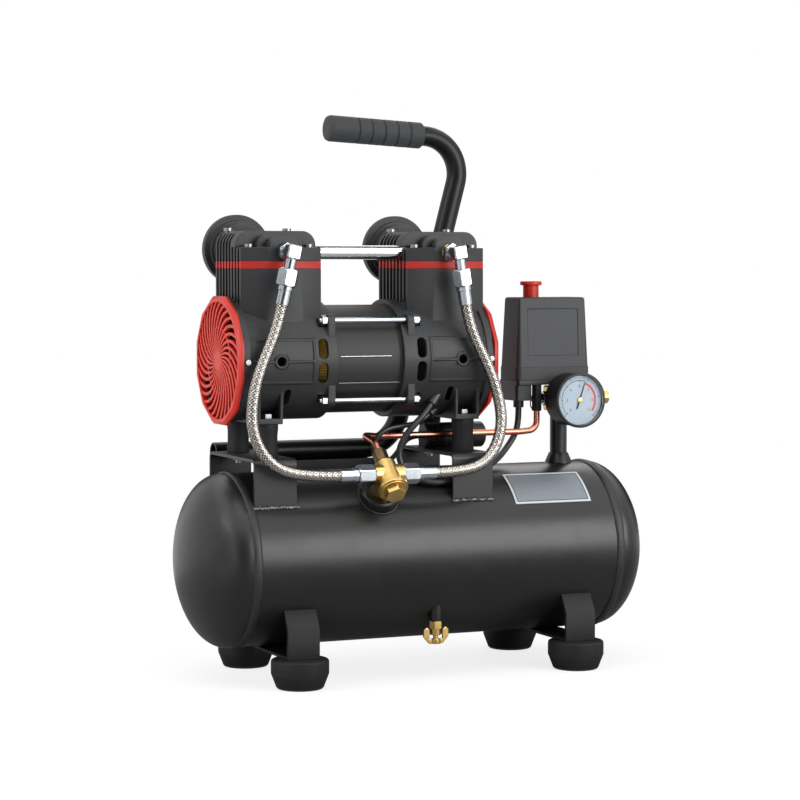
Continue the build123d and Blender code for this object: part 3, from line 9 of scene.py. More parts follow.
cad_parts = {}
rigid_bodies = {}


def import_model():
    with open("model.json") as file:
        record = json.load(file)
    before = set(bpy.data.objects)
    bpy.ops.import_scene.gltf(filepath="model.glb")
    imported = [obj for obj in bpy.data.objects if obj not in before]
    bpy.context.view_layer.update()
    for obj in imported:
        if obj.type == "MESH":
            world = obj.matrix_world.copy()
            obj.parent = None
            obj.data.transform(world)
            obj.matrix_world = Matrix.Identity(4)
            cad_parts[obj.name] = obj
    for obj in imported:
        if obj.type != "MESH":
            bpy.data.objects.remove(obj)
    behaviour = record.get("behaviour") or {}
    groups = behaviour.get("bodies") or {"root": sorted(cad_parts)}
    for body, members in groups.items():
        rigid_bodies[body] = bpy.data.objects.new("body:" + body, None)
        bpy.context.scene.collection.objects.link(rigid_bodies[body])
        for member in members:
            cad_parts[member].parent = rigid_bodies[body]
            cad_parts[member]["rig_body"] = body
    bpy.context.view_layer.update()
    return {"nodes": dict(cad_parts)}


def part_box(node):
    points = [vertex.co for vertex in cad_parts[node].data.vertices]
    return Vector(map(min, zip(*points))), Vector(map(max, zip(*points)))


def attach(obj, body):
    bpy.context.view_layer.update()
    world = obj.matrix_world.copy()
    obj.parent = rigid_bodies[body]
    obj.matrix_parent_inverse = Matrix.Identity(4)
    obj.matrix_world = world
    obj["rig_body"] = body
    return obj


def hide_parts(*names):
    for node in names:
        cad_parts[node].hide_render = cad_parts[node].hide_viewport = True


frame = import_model()
nodes = frame["nodes"]
mm = 0.001
print("frame loaded:", len(nodes), "nodes")

# Camera and room
shot = {
    "place": (-0.9614, -2.1443, 0.3794),
    "aim": (0.40477, 0.91285, -0.05355),
    "lens": 112.3,
    "sensor": 36.0,
}
room = {
    "floorSize": 30.0,
    "white": 1.0,
    "worldLight": 0.28,      # what the room gives to matt surfaces
    "floorGlow": 0.8,        # share of the floor that shows as plain white paper
    "floorBlend": (0.45, 1.4),   # from here to there it turns all white
    "skyLight": 1.9,         # a wide soft light from straight above
    "skyAngle": 100.0,
    # name, place, size in x and y, power, what it points at
    "lamps": (
        ("keyBox", (1.2, -2.1, 0.85), (1.7, 1.3), 47.0, (0.0, 0.0, 0.25)),
        ("leftStrip", (-2.2, -0.2, 0.8), (0.9, 1.4), 36.0, (-0.1, 0.0, 0.2)),
        ("topStrip", (-0.1, -0.5, 2.2), (1.8, 0.5), 8.0, (0.0, 0.0, 0.2)),
        ("backRim", (1.3, 2.0, 1.7), (0.8, 1.2), 5.0, (0.1, 0.0, 0.25)),
    ),
    # cards that only show in gloss, as a studio hangs them: name, shade, place, size, what they face
    "cards": (
        ("cameraCard", 0.02, (-1.75, -3.3, 0.9), (2.6, 2.4), (0.0, 0.0, 0.25)),
        ("leftCard", 0.02, (-1.75, -0.1, 0.5), (1.2, 1.1), (0.0, 0.0, 0.3)),
        ("ceilingCard", 0.02, (0.0, 0.3, 2.6), (2.6, 1.7), (0.0, 0.0, 0.0)),
        ("backCard", 0.02, (1.6, 2.4, 0.8), (4.6, 1.6), (0.0, 0.0, 0.25)),
        ("tableCard", 0.3, (0.0, -0.4, 0.002), (2.4, 2.0), (0.0, -0.4, 1.0)),
    ),
}


def addCamera():
    lens = bpy.data.cameras.new("photoLens")
    lens.lens = shot["lens"]
    lens.sensor_width = shot["sensor"]
    lens.clip_start = 0.05
    cam = bpy.data.objects.new("photoCamera", lens)
    cam.location = shot["place"]
    cam.rotation_euler = Vector(shot["aim"]).to_track_quat("-Z", "Y").to_euler()
    bpy.context.scene.collection.objects.link(cam)
    bpy.context.scene.camera = cam


grainRoughness = 0.55     # how much of the fine noise shows in every grain


# Shader sums: a wrapped socket takes part in plain arithmetic
class Wire:
    def __init__(self, finish, socket):
        self.finish = finish
        self.socket = socket

    def join(self, operation, first, second):
        return self.finish.node("ShaderNodeMath", {"operation": operation}, {0: first, 1: second})

    def __add__(self, other):
        return self.join("ADD", self, other)

    def __radd__(self, other):
        return self.join("ADD", other, self)

    def __sub__(self, other):
        return self.join("SUBTRACT", self, other)

    def __rsub__(self, other):
        return self.join("SUBTRACT", other, self)

    def __mul__(self, other):
        return self.join("MULTIPLY", self, other)

    def __rmul__(self, other):
        return self.join("MULTIPLY", other, self)


class Finish:
    def __init__(self, name, tree=None, **shader):
        if tree:
            self.tree = tree
            self.tree.nodes.clear()
            return
        self.material = bpy.data.materials.new(name)
        self.material.use_nodes = True
        self.tree = self.material.node_tree
        self.tree.nodes.clear()
        self.out = self.tree.nodes.new("ShaderNodeOutputMaterial")
        self.shader = self.tree.nodes.new("ShaderNodeBsdfPrincipled")
        self.tree.links.new(self.shader.outputs[0], self.out.inputs[0])
        self.set(**shader)

    def node(self, kind, settings=None, sockets=None, out=0):
        made = self.tree.nodes.new(kind)
        for key, value in (settings or {}).items():
            if key == "stops":
                for index, (at, shade) in enumerate(value):
                    stop = made.color_ramp.elements[index] if index < 2 else made.color_ramp.elements.new(at)
                    stop.position = at
                    stop.color = (shade, shade, shade, 1) if isinstance(shade, float) else (*shade, 1)
            else:
                setattr(made, key, value)
        for key, value in (sockets or {}).items():
            if isinstance(value, Wire):
                self.tree.links.new(value.socket, made.inputs[key])
            else:
                made.inputs[key].default_value = value
        return Wire(self, made.outputs[out])

    def set(self, **shader):
        for key, value in shader.items():
            socket = self.shader.inputs[key.replace("_", " ")]
            if isinstance(value, Wire):
                self.tree.links.new(value.socket, socket)
            elif socket.type == "RGBA" and len(value) == 3:
                socket.default_value = (*value, 1)
            else:
                socket.default_value = value

    def place(self):
        made = self.tree.nodes.new("ShaderNodeTexCoord")
        return Wire(self, made.outputs["Object"])

    def stretch(self, scale):
        return self.node("ShaderNodeMapping", None, {"Vector": self.place(), "Scale": scale})

    def grain(self, scale, detail, at=None):
        at = at or self.place()
        return self.node("ShaderNodeTexNoise", None, {"Vector": at, "Scale": scale, "Detail": detail,
                                                      "Roughness": grainRoughness})

    def ramp(self, value, *stops):
        return self.node("ShaderNodeValToRGB", {"stops": stops}, {"Fac": value})

    def blendColour(self, share, first, second):
        first = first if isinstance(first, Wire) else (*first, 1)
        second = second if isinstance(second, Wire) else (*second, 1)
        return self.node("ShaderNodeMix", {"data_type": "RGBA"}, {0: share, 6: first, 7: second}, out=2)

    def bump(self, height, strength, depth):
        normal = self.node("ShaderNodeBump", None, {"Strength": strength, "Distance": depth, "Height": height})
        self.set(Normal=normal)


# Materials, one for each finish on the object
def powderCoat(name, dark, light, roughness, peel, gloss=0.38):
    coat = Finish(name, Specular_IOR_Level=gloss)
    cloud = coat.grain(9.0, 4.0)
    orangePeel = coat.grain(900.0, 2.0)
    dust = coat.ramp(coat.grain(55.0, 5.0), (0.52, 0.0), (0.78, 1.0))
    coat.set(Base_Color=coat.blendColour(cloud * 0.7 + dust * 0.25, dark, light))
    coat.set(Roughness=roughness + (cloud - 0.5) * 0.12 + dust * 0.06)
    coat.bump(orangePeel, peel, 0.00008)
    return coat.material


def mouldedRubber(name, dark, light):
    rubber = Finish(name, Specular_IOR_Level=0.25)
    cloud = rubber.grain(40.0, 5.0)
    scuff = rubber.ramp(rubber.grain(140.0, 4.0), (0.55, 0.0), (0.75, 1.0))
    rubber.set(Base_Color=rubber.blendColour(cloud * 0.6 + scuff * 0.4, dark, light))
    rubber.set(Roughness=0.56 + cloud * 0.18)
    rubber.bump(rubber.grain(1500.0, 2.0), 0.35, 0.0001)
    return rubber.material


def castHousing():
    cast = Finish("castHousing", Specular_IOR_Level=0.4)
    cloud = cast.grain(25.0, 4.0)
    sand = cast.grain(1100.0, 3.0)
    cast.set(Base_Color=cast.blendColour(cloud, (0.009, 0.0095, 0.0105), (0.018, 0.0187, 0.020)))
    cast.set(Roughness=0.42 + sand * 0.14)
    cast.bump(sand, 0.3, 0.00012)
    return cast.material


def barrelPaint():
    # thin stacked rings run round the motor under the paint
    paint = Finish("barrelPaint", Specular_IOR_Level=0.4)
    rings = paint.node("ShaderNodeTexWave", {"wave_type": "BANDS", "bands_direction": "X"},
                       {"Vector": paint.place(), "Scale": 260.0, "Distortion": 1.2, "Detail": 2.0,
                        "Detail Scale": 3.0})
    cloud = paint.grain(60.0, 4.0, at=paint.stretch((6, 1, 1)))
    shade = cloud * 0.6 + rings * 0.3
    paint.set(Base_Color=paint.blendColour(shade, (0.007, 0.007, 0.0075), (0.018, 0.018, 0.0192)))
    paint.set(Roughness=0.46 + cloud * 0.14)
    paint.bump(rings, 0.25, 0.0001)
    return paint.material


def redMoulding(name, dark, light, roughness):
    red = Finish(name, Specular_IOR_Level=0.32)
    cloud = red.grain(30.0, 4.0)
    fine = red.grain(700.0, 2.0)
    red.set(Base_Color=red.blendColour(cloud, dark, light))
    red.set(Roughness=roughness + (cloud - 0.5) * 0.1 + fine * 0.05)
    red.bump(fine, 0.12, 0.00008)
    return red.material


def platedSteel(name, tint, shade, roughness):
    steel = Finish(name, Metallic=1.0)
    cloud = steel.grain(80.0, 4.0)
    scratch = steel.grain(900.0, 3.0)
    steel.set(Base_Color=steel.blendColour(cloud, shade, tint))
    steel.set(Roughness=roughness + (scratch - 0.5) * 0.14)
    steel.bump(scratch, 0.1, 0.00005)
    return steel.material


def turnedBrass(name, dark, light, roughness):
    brass = Finish(name, Metallic=1.0)
    cloud = brass.grain(120.0, 5.0)
    pits = brass.grain(1200.0, 3.0)
    tarnish = brass.ramp(brass.grain(45.0, 5.0), (0.45, 0.0), (0.8, 1.0))
    brass.set(Base_Color=brass.blendColour(cloud * 0.7 + tarnish * 0.3, light, dark))
    brass.set(Roughness=roughness + tarnish * 0.14 + (pits - 0.5) * 0.12)
    brass.bump(pits, 0.18, 0.00006)
    return brass.material


def texturedPlastic(name, dark, light, roughness, grainSize):
    plastic = Finish(name, Specular_IOR_Level=0.35)
    spark = plastic.node("ShaderNodeTexVoronoi", {"feature": "SMOOTH_F1"},
                         {"Vector": plastic.place(), "Scale": grainSize, "Smoothness": 0.6})
    cloud = plastic.grain(22.0, 4.0)
    plastic.set(Base_Color=plastic.blendColour(cloud, dark, light))
    plastic.set(Roughness=roughness + spark * 0.12)
    plastic.bump(spark, 0.2, 0.00008)
    return plastic.material


def cableSheath():
    sheath = Finish("cableSheath", Specular_IOR_Level=0.5)
    cloud = sheath.grain(150.0, 3.0)
    sheath.set(Base_Color=sheath.blendColour(cloud, (0.006, 0.006, 0.007), (0.018, 0.018, 0.019)))
    sheath.set(Roughness=0.3 + cloud * 0.15)
    sheath.bump(sheath.grain(1400.0, 2.0), 0.15, 0.00006)
    return sheath.material


def windingWire():
    wire = Finish("windingWire", Metallic=0.25)
    strands = wire.node("ShaderNodeTexWave", {"wave_type": "BANDS", "bands_direction": "DIAGONAL"},
                        {"Vector": wire.place(), "Scale": 320.0, "Distortion": 3.0, "Detail": 1.0})
    wire.set(Base_Color=wire.blendColour(strands, (0.46, 0.27, 0.03), (0.90, 0.64, 0.14)))
    wire.set(Roughness=0.32 + strands * 0.12)
    wire.bump(strands, 0.6, 0.0003)
    return wire.material


def bareLabel():
    plate = Finish("bareLabel", Metallic=0.35)
    brushed = plate.grain(700.0, 3.0, at=plate.stretch((0.03, 1, 1)))
    plate.set(Base_Color=plate.blendColour(brushed, (0.135, 0.157, 0.178), (0.185, 0.208, 0.228)))
    plate.set(Roughness=0.36 + brushed * 0.16)
    plate.bump(brushed, 0.08, 0.00005)
    return plate.material


def dialCard():
    card = Finish("dialCard", Specular_IOR_Level=0.3)
    fleck = card.grain(350.0, 3.0)
    card.set(Base_Color=card.blendColour(fleck, (0.36, 0.425, 0.48), (0.42, 0.485, 0.54)))
    card.set(Roughness=0.5 + fleck * 0.1)
    return card.material


def printInk(name, dark, light):
    ink = Finish(name, Specular_IOR_Level=0.3)
    fleck = ink.grain(900.0, 3.0)
    ink.set(Base_Color=ink.blendColour(fleck, dark, light), Roughness=0.5 + fleck * 0.1)
    return ink.material


def gaugeGlass():
    glass = Finish("gaugeGlass", Base_Color=(0.97, 0.985, 1.0), Transmission_Weight=1.0, IOR=1.2)
    smear = glass.grain(60.0, 3.0)
    glass.set(Roughness=smear * 0.03)
    return glass.material


finishes = {}


def mixFinishes():
    finishes.update({
        "tank": powderCoat("tankPowder", (0.0045, 0.0047, 0.005), (0.009, 0.0093, 0.0098), 0.33, 0.14),
        "bracket": powderCoat("bracketPowder", (0.007, 0.0073, 0.0078), (0.014, 0.0145, 0.0155), 0.40, 0.2),
        # the straps' darker base colour is painted shade on the same black powder as the brackets; the lower gloss
        # and higher roughness are real
        "strap": powderCoat("strapPowderPaintedShade", (0.004, 0.0042, 0.0045), (0.009, 0.0093, 0.0098), 0.48, 0.2,
                            gloss=0.18),
        # the handle's darker base colour is painted shade on the same black powder as the tank; the lower gloss is
        # real
        "handle": powderCoat("handlePowderPaintedShade", (0.003, 0.0032, 0.0036), (0.007, 0.0073, 0.0078), 0.34, 0.16,
                             gloss=0.22),
        "rubber": mouldedRubber("mouldedRubber", (0.0045, 0.0045, 0.0045), (0.012, 0.012, 0.012)),
        "grip": mouldedRubber("gripRubber", (0.024, 0.026, 0.028), (0.046, 0.049, 0.052)),
        "cast": castHousing(),
        "barrel": barrelPaint(),
        "redPlastic": redMoulding("redPlastic", (0.36, 0.012, 0.004), (0.43, 0.018, 0.007), 0.36),
        "redBand": redMoulding("redBand", (0.29, 0.007, 0.003), (0.35, 0.011, 0.005), 0.42),
        "zinc": platedSteel("brightZinc", (0.58, 0.62, 0.66), (0.38, 0.41, 0.44), 0.20),
        "screw": platedSteel("screwSteel", (0.36, 0.37, 0.38), (0.22, 0.225, 0.23), 0.32),
        "steel": platedSteel("machineSteel", (0.62, 0.62, 0.61), (0.45, 0.45, 0.44), 0.28),
        "core": platedSteel("coreSteel", (0.26, 0.26, 0.27), (0.16, 0.16, 0.17), 0.42),
        "castIron": platedSteel("castIron", (0.24, 0.24, 0.24), (0.15, 0.15, 0.15), 0.5),
        "aluminium": platedSteel("bareAluminium", (0.74, 0.75, 0.76), (0.60, 0.61, 0.62), 0.30),
        "chrome": platedSteel("chromeTube", (0.80, 0.80, 0.79), (0.68, 0.68, 0.67), 0.12),
        "brass": turnedBrass("turnedBrass", (0.38, 0.23, 0.06), (0.75, 0.53, 0.205), 0.28),
        # a darker copy of the turned brass for the union nut: painted shade, the same brass as the valve
        "nutBrassPaintedShade": turnedBrass("nutBrassPaintedShade", (0.08, 0.055, 0.03), (0.22, 0.15, 0.07), 0.26),
        "copper": turnedBrass("drawnCopper", (0.46, 0.14, 0.10), (0.74, 0.27, 0.19), 0.26),
        "winding": windingWire(),
        "blackPlastic": texturedPlastic("blackPlastic", (0.006, 0.006, 0.0063), (0.012, 0.012, 0.0125), 0.38,
                                        900.0),
        "coverGrey": texturedPlastic("coverGrey", (0.017, 0.0182, 0.0205), (0.025, 0.0266, 0.0296), 0.44, 1300.0),
        "filterGrey": texturedPlastic("filterGrey", (0.011, 0.0115, 0.0125), (0.02, 0.0207, 0.022), 0.44, 900.0),
        "cup": texturedPlastic("cupPlastic", (0.16, 0.12, 0.09), (0.22, 0.17, 0.13), 0.5, 900.0),
        "cable": cableSheath(),
        "label": bareLabel(),
        "labelMargin": printInk("labelMargin", (0.42, 0.45, 0.47), (0.50, 0.53, 0.55)),
        "dial": dialCard(),
        "blackInk": printInk("blackInk", (0.012, 0.012, 0.014), (0.03, 0.03, 0.034)),
        "redInk": printInk("redInk", (0.50, 0.03, 0.03), (0.62, 0.06, 0.05)),
        "glass": gaugeGlass(),
        # the warm tint of the braid wire is a painted reflection of the brown tones on the hoses' lower side
        "braid": platedSteel("braidWirePaintedReflection", (0.70, 0.67, 0.62), (0.46, 0.42, 0.37), 0.20),
        # a lighter copy of the tank powder for the end welds: painted highlight for the glints on the bead; the
        # stronger bump is real
        "weldPaintPaintedHighlight": powderCoat("weldPaintPaintedHighlight", (0.006, 0.0063, 0.0068), (0.02, 0.0207, 0.0217), 0.46, 0.5),
        # the grey metal colour of the leg welds is painted highlight: the beads are black paint that catches
        # bright glints
        "weld": platedSteel("weldBeadPaintedHighlight", (0.22, 0.22, 0.22), (0.05, 0.05, 0.052), 0.36),
    })


wears = {
    "tank": ("tank_shell", "tank_ends", "tank_weldments", "riser_pipe"),
    "bracket": ("pump_brackets",),
    "strap": ("foot_straps",),
    "handle": ("handle_tube",),
    "rubber": ("rubber_feet", "rubber_dampers"),
    "grip": ("handle_grip",),
    "cast": ("crankcases", "cylinder_heads"),
    "barrel": ("motor_barrel",),
    "redPlastic": ("fan_covers", "switch_knob", "safety_ring"),
    "redBand": ("valve_plates",),
    "zinc": ("tie_rods", "hose_fittings", "safety_valve"),
    "screw": ("mount_bolts", "pump_screws"),
    "steel": ("motor_shaft", "main_bearings", "rod_bearing_left", "rod_bearing_right"),
    "core": ("stator_core", "rotor_core"),
    "castIron": ("cranks",),
    "aluminium": ("piston_left", "piston_right", "cylinder_sleeves"),
    "chrome": ("crossover_tube",),
    "brass": ("check_valve_body", "check_valve_cap", "drain_body", "drain_screw", "air_outlet", "manifold"),
    "copper": ("unloader_tube",),
    "winding": ("stator_windings",),
    "blackPlastic": ("cooling_fans", "capacitor", "switch_base", "switch_contacts", "unloader_valve",
                     "gauge_case"),
    "filterGrey": ("intake_filters",),
    "coverGrey": ("switch_cover",),
    "cup": ("piston_cup_left", "piston_cup_right"),
    "cable": ("cable_glands", "motor_lead", "capacitor_lead"),
    "label": ("label_plate",),
    "dial": ("gauge_dial",),
    "blackInk": ("gauge_needle",),
    "glass": ("gauge_lens",),
    "braid": ("hose_left", "hose_right"),
}


def dress(piece, finish):
    piece.data.materials.clear()
    piece.data.materials.append(finishes[finish])


def dressNodes():
    for finish, names in wears.items():
        for name in names:
            dress(nodes[name], finish)
    print("nodes dressed:", sum(len(names) for names in wears.values()))


# Small modelling helpers
def pickNone():
    bpy.ops.object.select_all(action="DESELECT")


def pickOnly(piece):
    pickNone()
    piece.select_set(True)
    bpy.context.view_layer.objects.active = piece


def applyModifiers(piece):
    pickOnly(piece)
    for modifier in list(piece.modifiers):
        bpy.ops.object.modifier_apply(modifier=modifier.name)


def moveMesh(piece, place):
    piece.data.transform(place)
    piece.data.update()


def finishPiece(piece, body, finish):
    dress(piece, finish)
    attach(piece, body)


# Corners broken by the mould, the brake or the file: node and round in mm
edgeRounds = {
    "crankcases": 0.6, "cylinder_heads": 0.7, "valve_plates": 0.3, "pump_brackets": 0.5, "foot_straps": 0.5,
    "switch_cover": 0.4, "switch_base": 0.5, "fan_covers": 0.35, "hose_fittings": 0.3, "check_valve_body": 0.3,
    "check_valve_cap": 0.35, "mount_bolts": 0.25, "tie_rods": 0.25, "gauge_case": 0.3, "capacitor": 0.3,
    "drain_body": 0.25, "drain_screw": 0.4, "manifold": 0.3, "safety_valve": 0.25, "tank_weldments": 0.5,
    "rubber_feet": 0.8, "rubber_dampers": 0.5, "handle_grip": 0.35, "pump_screws": 0.2, "switch_knob": 0.4,
    "unloader_valve": 0.2, "air_outlet": 0.25, "cable_glands": 0.3, "intake_filters": 0.5,
}
# Degrees: edges sharper than the first are rounded, and faces within the others shade as one
edgeAngle = 34.0
softAngle = 50.0
turnedAngle = 40.0


def roundedCopy(node, width):
    solid = nodes[node]
    piece = bpy.data.objects.new(node + "_soft", solid.data.copy())
    bpy.context.scene.collection.objects.link(piece)
    pickOnly(piece)
    bpy.ops.mesh.customdata_custom_splitnormals_clear()
    bpy.ops.object.mode_set(mode="EDIT")
    bpy.ops.mesh.select_all(action="SELECT")
    bpy.ops.mesh.remove_doubles(threshold=1e-6)
    bpy.ops.object.mode_set(mode="OBJECT")
    sharp = BVHTree.FromObject(piece, bpy.context.evaluated_depsgraph_get())
    edge = piece.modifiers.new("edge", "BEVEL")
    edge.width = width * mm
    edge.segments = 2
    edge.limit_method = "ANGLE"
    edge.angle_limit = radians(edgeAngle)
    edge.use_clamp_overlap = False
    edge.miter_outer = "MITER_ARC"
    applyModifiers(piece)
    for vertex in piece.data.vertices:
        place, _, _, gap = sharp.find_nearest(vertex.co)
        if gap > width * mm:
            vertex.co = place     # a corner that ran out of room goes back
    bpy.ops.object.shade_smooth_by_angle(angle=radians(softAngle))
    flat = piece.modifiers.new("flat", "WEIGHTED_NORMAL")
    flat.keep_sharp = True
    applyModifiers(piece)
    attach(piece, solid["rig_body"])
    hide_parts(node)


# The union nut on top of the valve takes a darker copy of the brass: painted shade for the dark reflections on its
# faces
unionNut = {"valve": (-57.0 * mm, -77.0 * mm, 191.0 * mm), "lean": radians(43.65), "from": 14.0 * mm}


def darkenNut(valve):
    centre = Vector(unionNut["valve"])
    up = Vector((0, cos(unionNut["lean"]), sin(unionNut["lean"])))
    valve.data.materials.append(finishes["nutBrassPaintedShade"])
    for face in valve.data.polygons:
        if (face.center - centre).dot(up) > unionNut["from"]:
            face.material_index = 1


def roundEdges():
    for node, width in edgeRounds.items():
        roundedCopy(node, width)
    darkenNut(bpy.data.objects["check_valve_body_soft"])
    print("edges rounded:", len(edgeRounds), "nodes")


# Weld beads
endWeld = {
    "out": 183.0 * mm,        # middle of the bead from the middle of the tank
    "halfWidth": 4.2 * mm,
    "widthWander": 0.08,      # share of the width
    "height": 1.5 * mm,
    "root": 0.4 * mm,         # how far it sinks into the wall
    "scales": 120,            # ripples round the tank
    "scaleBow": 2.4,          # how far each ripple bows across the bead
    "scaleDepth": 0.3,
    "sides": 12,
    "seed": 5,
}
legWeld = {
    "width": 41.0 * mm,       # one bracket leg
    "past": 1.6 * mm,         # how far the bead runs past the leg
    "out": 0.5 * mm,
    "radius": 2.0 * mm,
    "wander": 0.5 * mm,       # up and down along the leg
    "ripple": 0.36,
    "seed": 11,
}
bossWeld = {
    "x": -57.0 * mm,
    "lean": radians(43.65),   # of the valve from straight up, to the front
    "ring": 18.5 * mm,
    "radius": 1.5 * mm,
    "ripple": 0.25,
    "seed": 23,
}
beadStep = 0.7 * mm
beadPitch = 2.6 * mm          # from one ripple to the next


def tankAxis():
    low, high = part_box("tank_shell")
    return (low.z + high.z) / 2, (high.z - low.z) / 2


def slowWave(at, draw, turns):
    # a few long waves with chance phases, from -1 to 1
    return sum(np.sin(at * turn + draw.uniform(0, tau)) for turn in turns) / len(turns)


def endWelds():
    axisZ, radius = tankAxis()
    draw = random.Random(endWeld["seed"])
    for side, x in (("left", -endWeld["out"]), ("right", endWeld["out"])):
        pickNone()
        bpy.ops.mesh.primitive_torus_add(major_radius=radius, minor_radius=mm, minor_segments=endWeld["sides"],
                                         major_segments=6 * endWeld["scales"])
        bead = bpy.context.object
        bead.name = "end_weld_" + side
        place = np.zeros(3 * len(bead.data.vertices))
        bead.data.vertices.foreach_get("co", place)
        place = place.reshape(-1, 3)
        turn = np.arctan2(place[:, 1], place[:, 0])
        across = place[:, 2] / mm
        rise = (np.hypot(place[:, 0], place[:, 1]) - radius) / mm
        width = endWeld["halfWidth"] * (1 + endWeld["widthWander"] * slowWave(turn, draw, (5, 11, 23)))
        bow = endWeld["scaleBow"] * across ** 2
        scale = np.sin(endWeld["scales"] * turn + bow + 2 * slowWave(turn, draw, (3, 7, 17)))
        height = endWeld["height"] * (1 + endWeld["scaleDepth"] * scale)
        out = radius + np.where(rise > 0, rise * height, rise * endWeld["root"])
        bent = np.stack([x + across * width, out * np.cos(turn), axisZ + out * np.sin(turn)], axis=1)
        bead.data.vertices.foreach_set("co", bent.ravel())
        bead.data.update()
        pickOnly(bead)
        bpy.ops.object.shade_smooth()
        # the bead paint is lighter than the tank: painted highlight
        finishPiece(bead, "frame", "weldPaintPaintedHighlight")


def beadAlong(name, points, bead, draw, closed=False):
    at = np.arange(len(points)) * beadStep
    swells = 0.6 * slowWave(at / mm, draw, (0.31, 0.83, 1.7))
    size = 1 + bead["ripple"] * (0.55 * np.sin(at * tau / beadPitch) + swells)
    line = bpy.data.curves.new(name, "CURVE")
    line.dimensions = "3D"
    spline = line.splines.new("POLY")
    spline.points.add(len(points) - 1)
    for knot, point, swell in zip(spline.points, points, size):
        knot.co = (*point, 1)
        knot.radius = swell
    spline.use_cyclic_u = closed
    line.bevel_depth = bead["radius"]
    line.bevel_resolution = 4
    line.use_fill_caps = True
    piece = bpy.data.objects.new(name, line)
    bpy.context.scene.collection.objects.link(piece)
    pickOnly(piece)
    bpy.ops.object.convert(target="MESH")
    bpy.ops.object.shade_smooth_by_angle(angle=radians(60))
    return bpy.context.object


def legWelds():
    axisZ, radius = tankAxis()
    low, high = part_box("pump_brackets")
    draw = random.Random(legWeld["seed"])
    for side, left in (("left", low.x), ("right", high.x - legWeld["width"])):
        for face, y in (("front", low.y - legWeld["out"]), ("back", high.y + legWeld["out"])):
            x = np.arange(left - legWeld["past"], left + legWeld["width"] + legWeld["past"], beadStep)
            wander = legWeld["wander"] * slowWave(x / mm, draw, (0.21, 0.55, 1.1))
            z = axisZ + sqrt(radius ** 2 - y ** 2) + wander
            points = np.stack([x, np.full(len(x), y), z], axis=1)
            bead = beadAlong("leg_weld_" + side + "_" + face, points, legWeld, draw)
            # grey weld colour: painted highlight on black-painted beads
            finishPiece(bead, "frame", "weld")


def bossWelds():
    axisZ, radius = tankAxis()
    draw = random.Random(bossWeld["seed"])
    out = np.array((0, -sin(bossWeld["lean"]), cos(bossWeld["lean"])))
    up = np.array((0, cos(bossWeld["lean"]), sin(bossWeld["lean"])))
    count = int(tau * bossWeld["ring"] / beadStep)
    turn = np.arange(count) * tau / count
    along = bossWeld["ring"] * np.cos(turn)
    rise = bossWeld["ring"] * np.sin(turn)
    depth = np.sqrt(radius ** 2 - rise ** 2)
    points = np.outer(depth, out) + np.outer(rise, up) + np.outer(along + bossWeld["x"], (1, 0, 0))
    points[:, 2] += axisZ
    bead = beadAlong("boss_weld", points, bossWeld, draw, closed=True)
    finishPiece(bead, "frame", "tank")


# Two seams along the motor barrel, where its sheet is folded in
barrelSeam = {
    "from": -92.0 * mm,
    # name, angle up from the front, right end, finish
    # the lower seam's darker core steel is painted shade: it is the same bare sheet edge as the upper one, lying
    # lower on the barrel
    "lines": (("upper", 4.2, -41.0 * mm, "zinc"), ("lower", -24.0, -31.0 * mm, "core")),
    "radius": 0.42 * mm,
    "ripple": 0.15,
    "seed": 31,
}


def barrelSeams():
    low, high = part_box("motor_barrel")
    axisZ, radius = (low.z + high.z) / 2, (high.z - low.z) / 2
    draw = random.Random(barrelSeam["seed"])
    for name, angle, right, finish in barrelSeam["lines"]:
        x = np.arange(barrelSeam["from"], right, beadStep)
        y = np.full(len(x), -radius * cos(radians(angle)))
        z = np.full(len(x), axisZ + radius * sin(radians(angle)))
        seam = beadAlong("barrel_seam_" + name, np.stack([x, y, z], axis=1), barrelSeam, draw)
        finishPiece(seam, "frame", finish)


# Print on the dial: plain marks and numbers, drawn flat and then set on the card
dialPrint = {
    "lift": 0.02 * mm,
    "ink": 0.04 * mm,
    "sweep": 135.0,           # degrees each way from the top
    "steps": 50,              # small divisions
    "ticks": (0.88, 0.94),
    "longTicks": (0.85, 0.955),
    "tickWidth": 0.42 * mm,
    "longWidth": 1.6,         # times the width of a small one
    "longEvery": 10,
    "arc": (0.785, 0.808),
    "innerTicks": (0.74, 0.80),
    "redArc": (0.68, 0.76),
    "redFrom": 23.0,
    "redTo": 128.0,
    "numbers": 0.57,
    "numberSize": 4.2 * mm,
    "innerNumbers": (0, 2, 4, 6, 8, 10, 12),
    "circleSides": 180,
}


def dialPlace():
    low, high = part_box("gauge_dial")
    return Vector(((low.x + high.x) / 2, low.y, (low.z + high.z) / 2)), (high.z - low.z) / 2


def dialBand(inner, outer, start, end):
    pickNone()
    bpy.ops.mesh.primitive_circle_add(vertices=dialPrint["circleSides"], radius=outer, fill_type="NGON")
    band = bpy.context.object
    bpy.ops.object.mode_set(mode="EDIT")
    bpy.ops.mesh.select_all(action="SELECT")
    bpy.ops.mesh.inset(thickness=outer - inner)
    bpy.ops.mesh.delete(type="FACE")
    bpy.ops.mesh.select_all(action="DESELECT")
    bpy.ops.object.mode_set(mode="OBJECT")
    for face in band.data.polygons:
        turn = np.degrees(np.arctan2(face.center.x, face.center.y))
        face.select = not start <= turn <= end
    bpy.ops.object.mode_set(mode="EDIT")
    bpy.ops.mesh.delete(type="FACE")
    bpy.ops.object.mode_set(mode="OBJECT")
    return band


def dialTick(inner, outer, width, turn):
    pickNone()
    bpy.ops.mesh.primitive_plane_add(size=1)
    tick = bpy.context.object
    moveMesh(tick, Matrix.Translation((0, (inner + outer) / 2, 0)) @ Matrix.Diagonal((width, outer - inner, 1, 1)))
    moveMesh(tick, Matrix.Rotation(-radians(turn), 4, "Z"))
    return tick


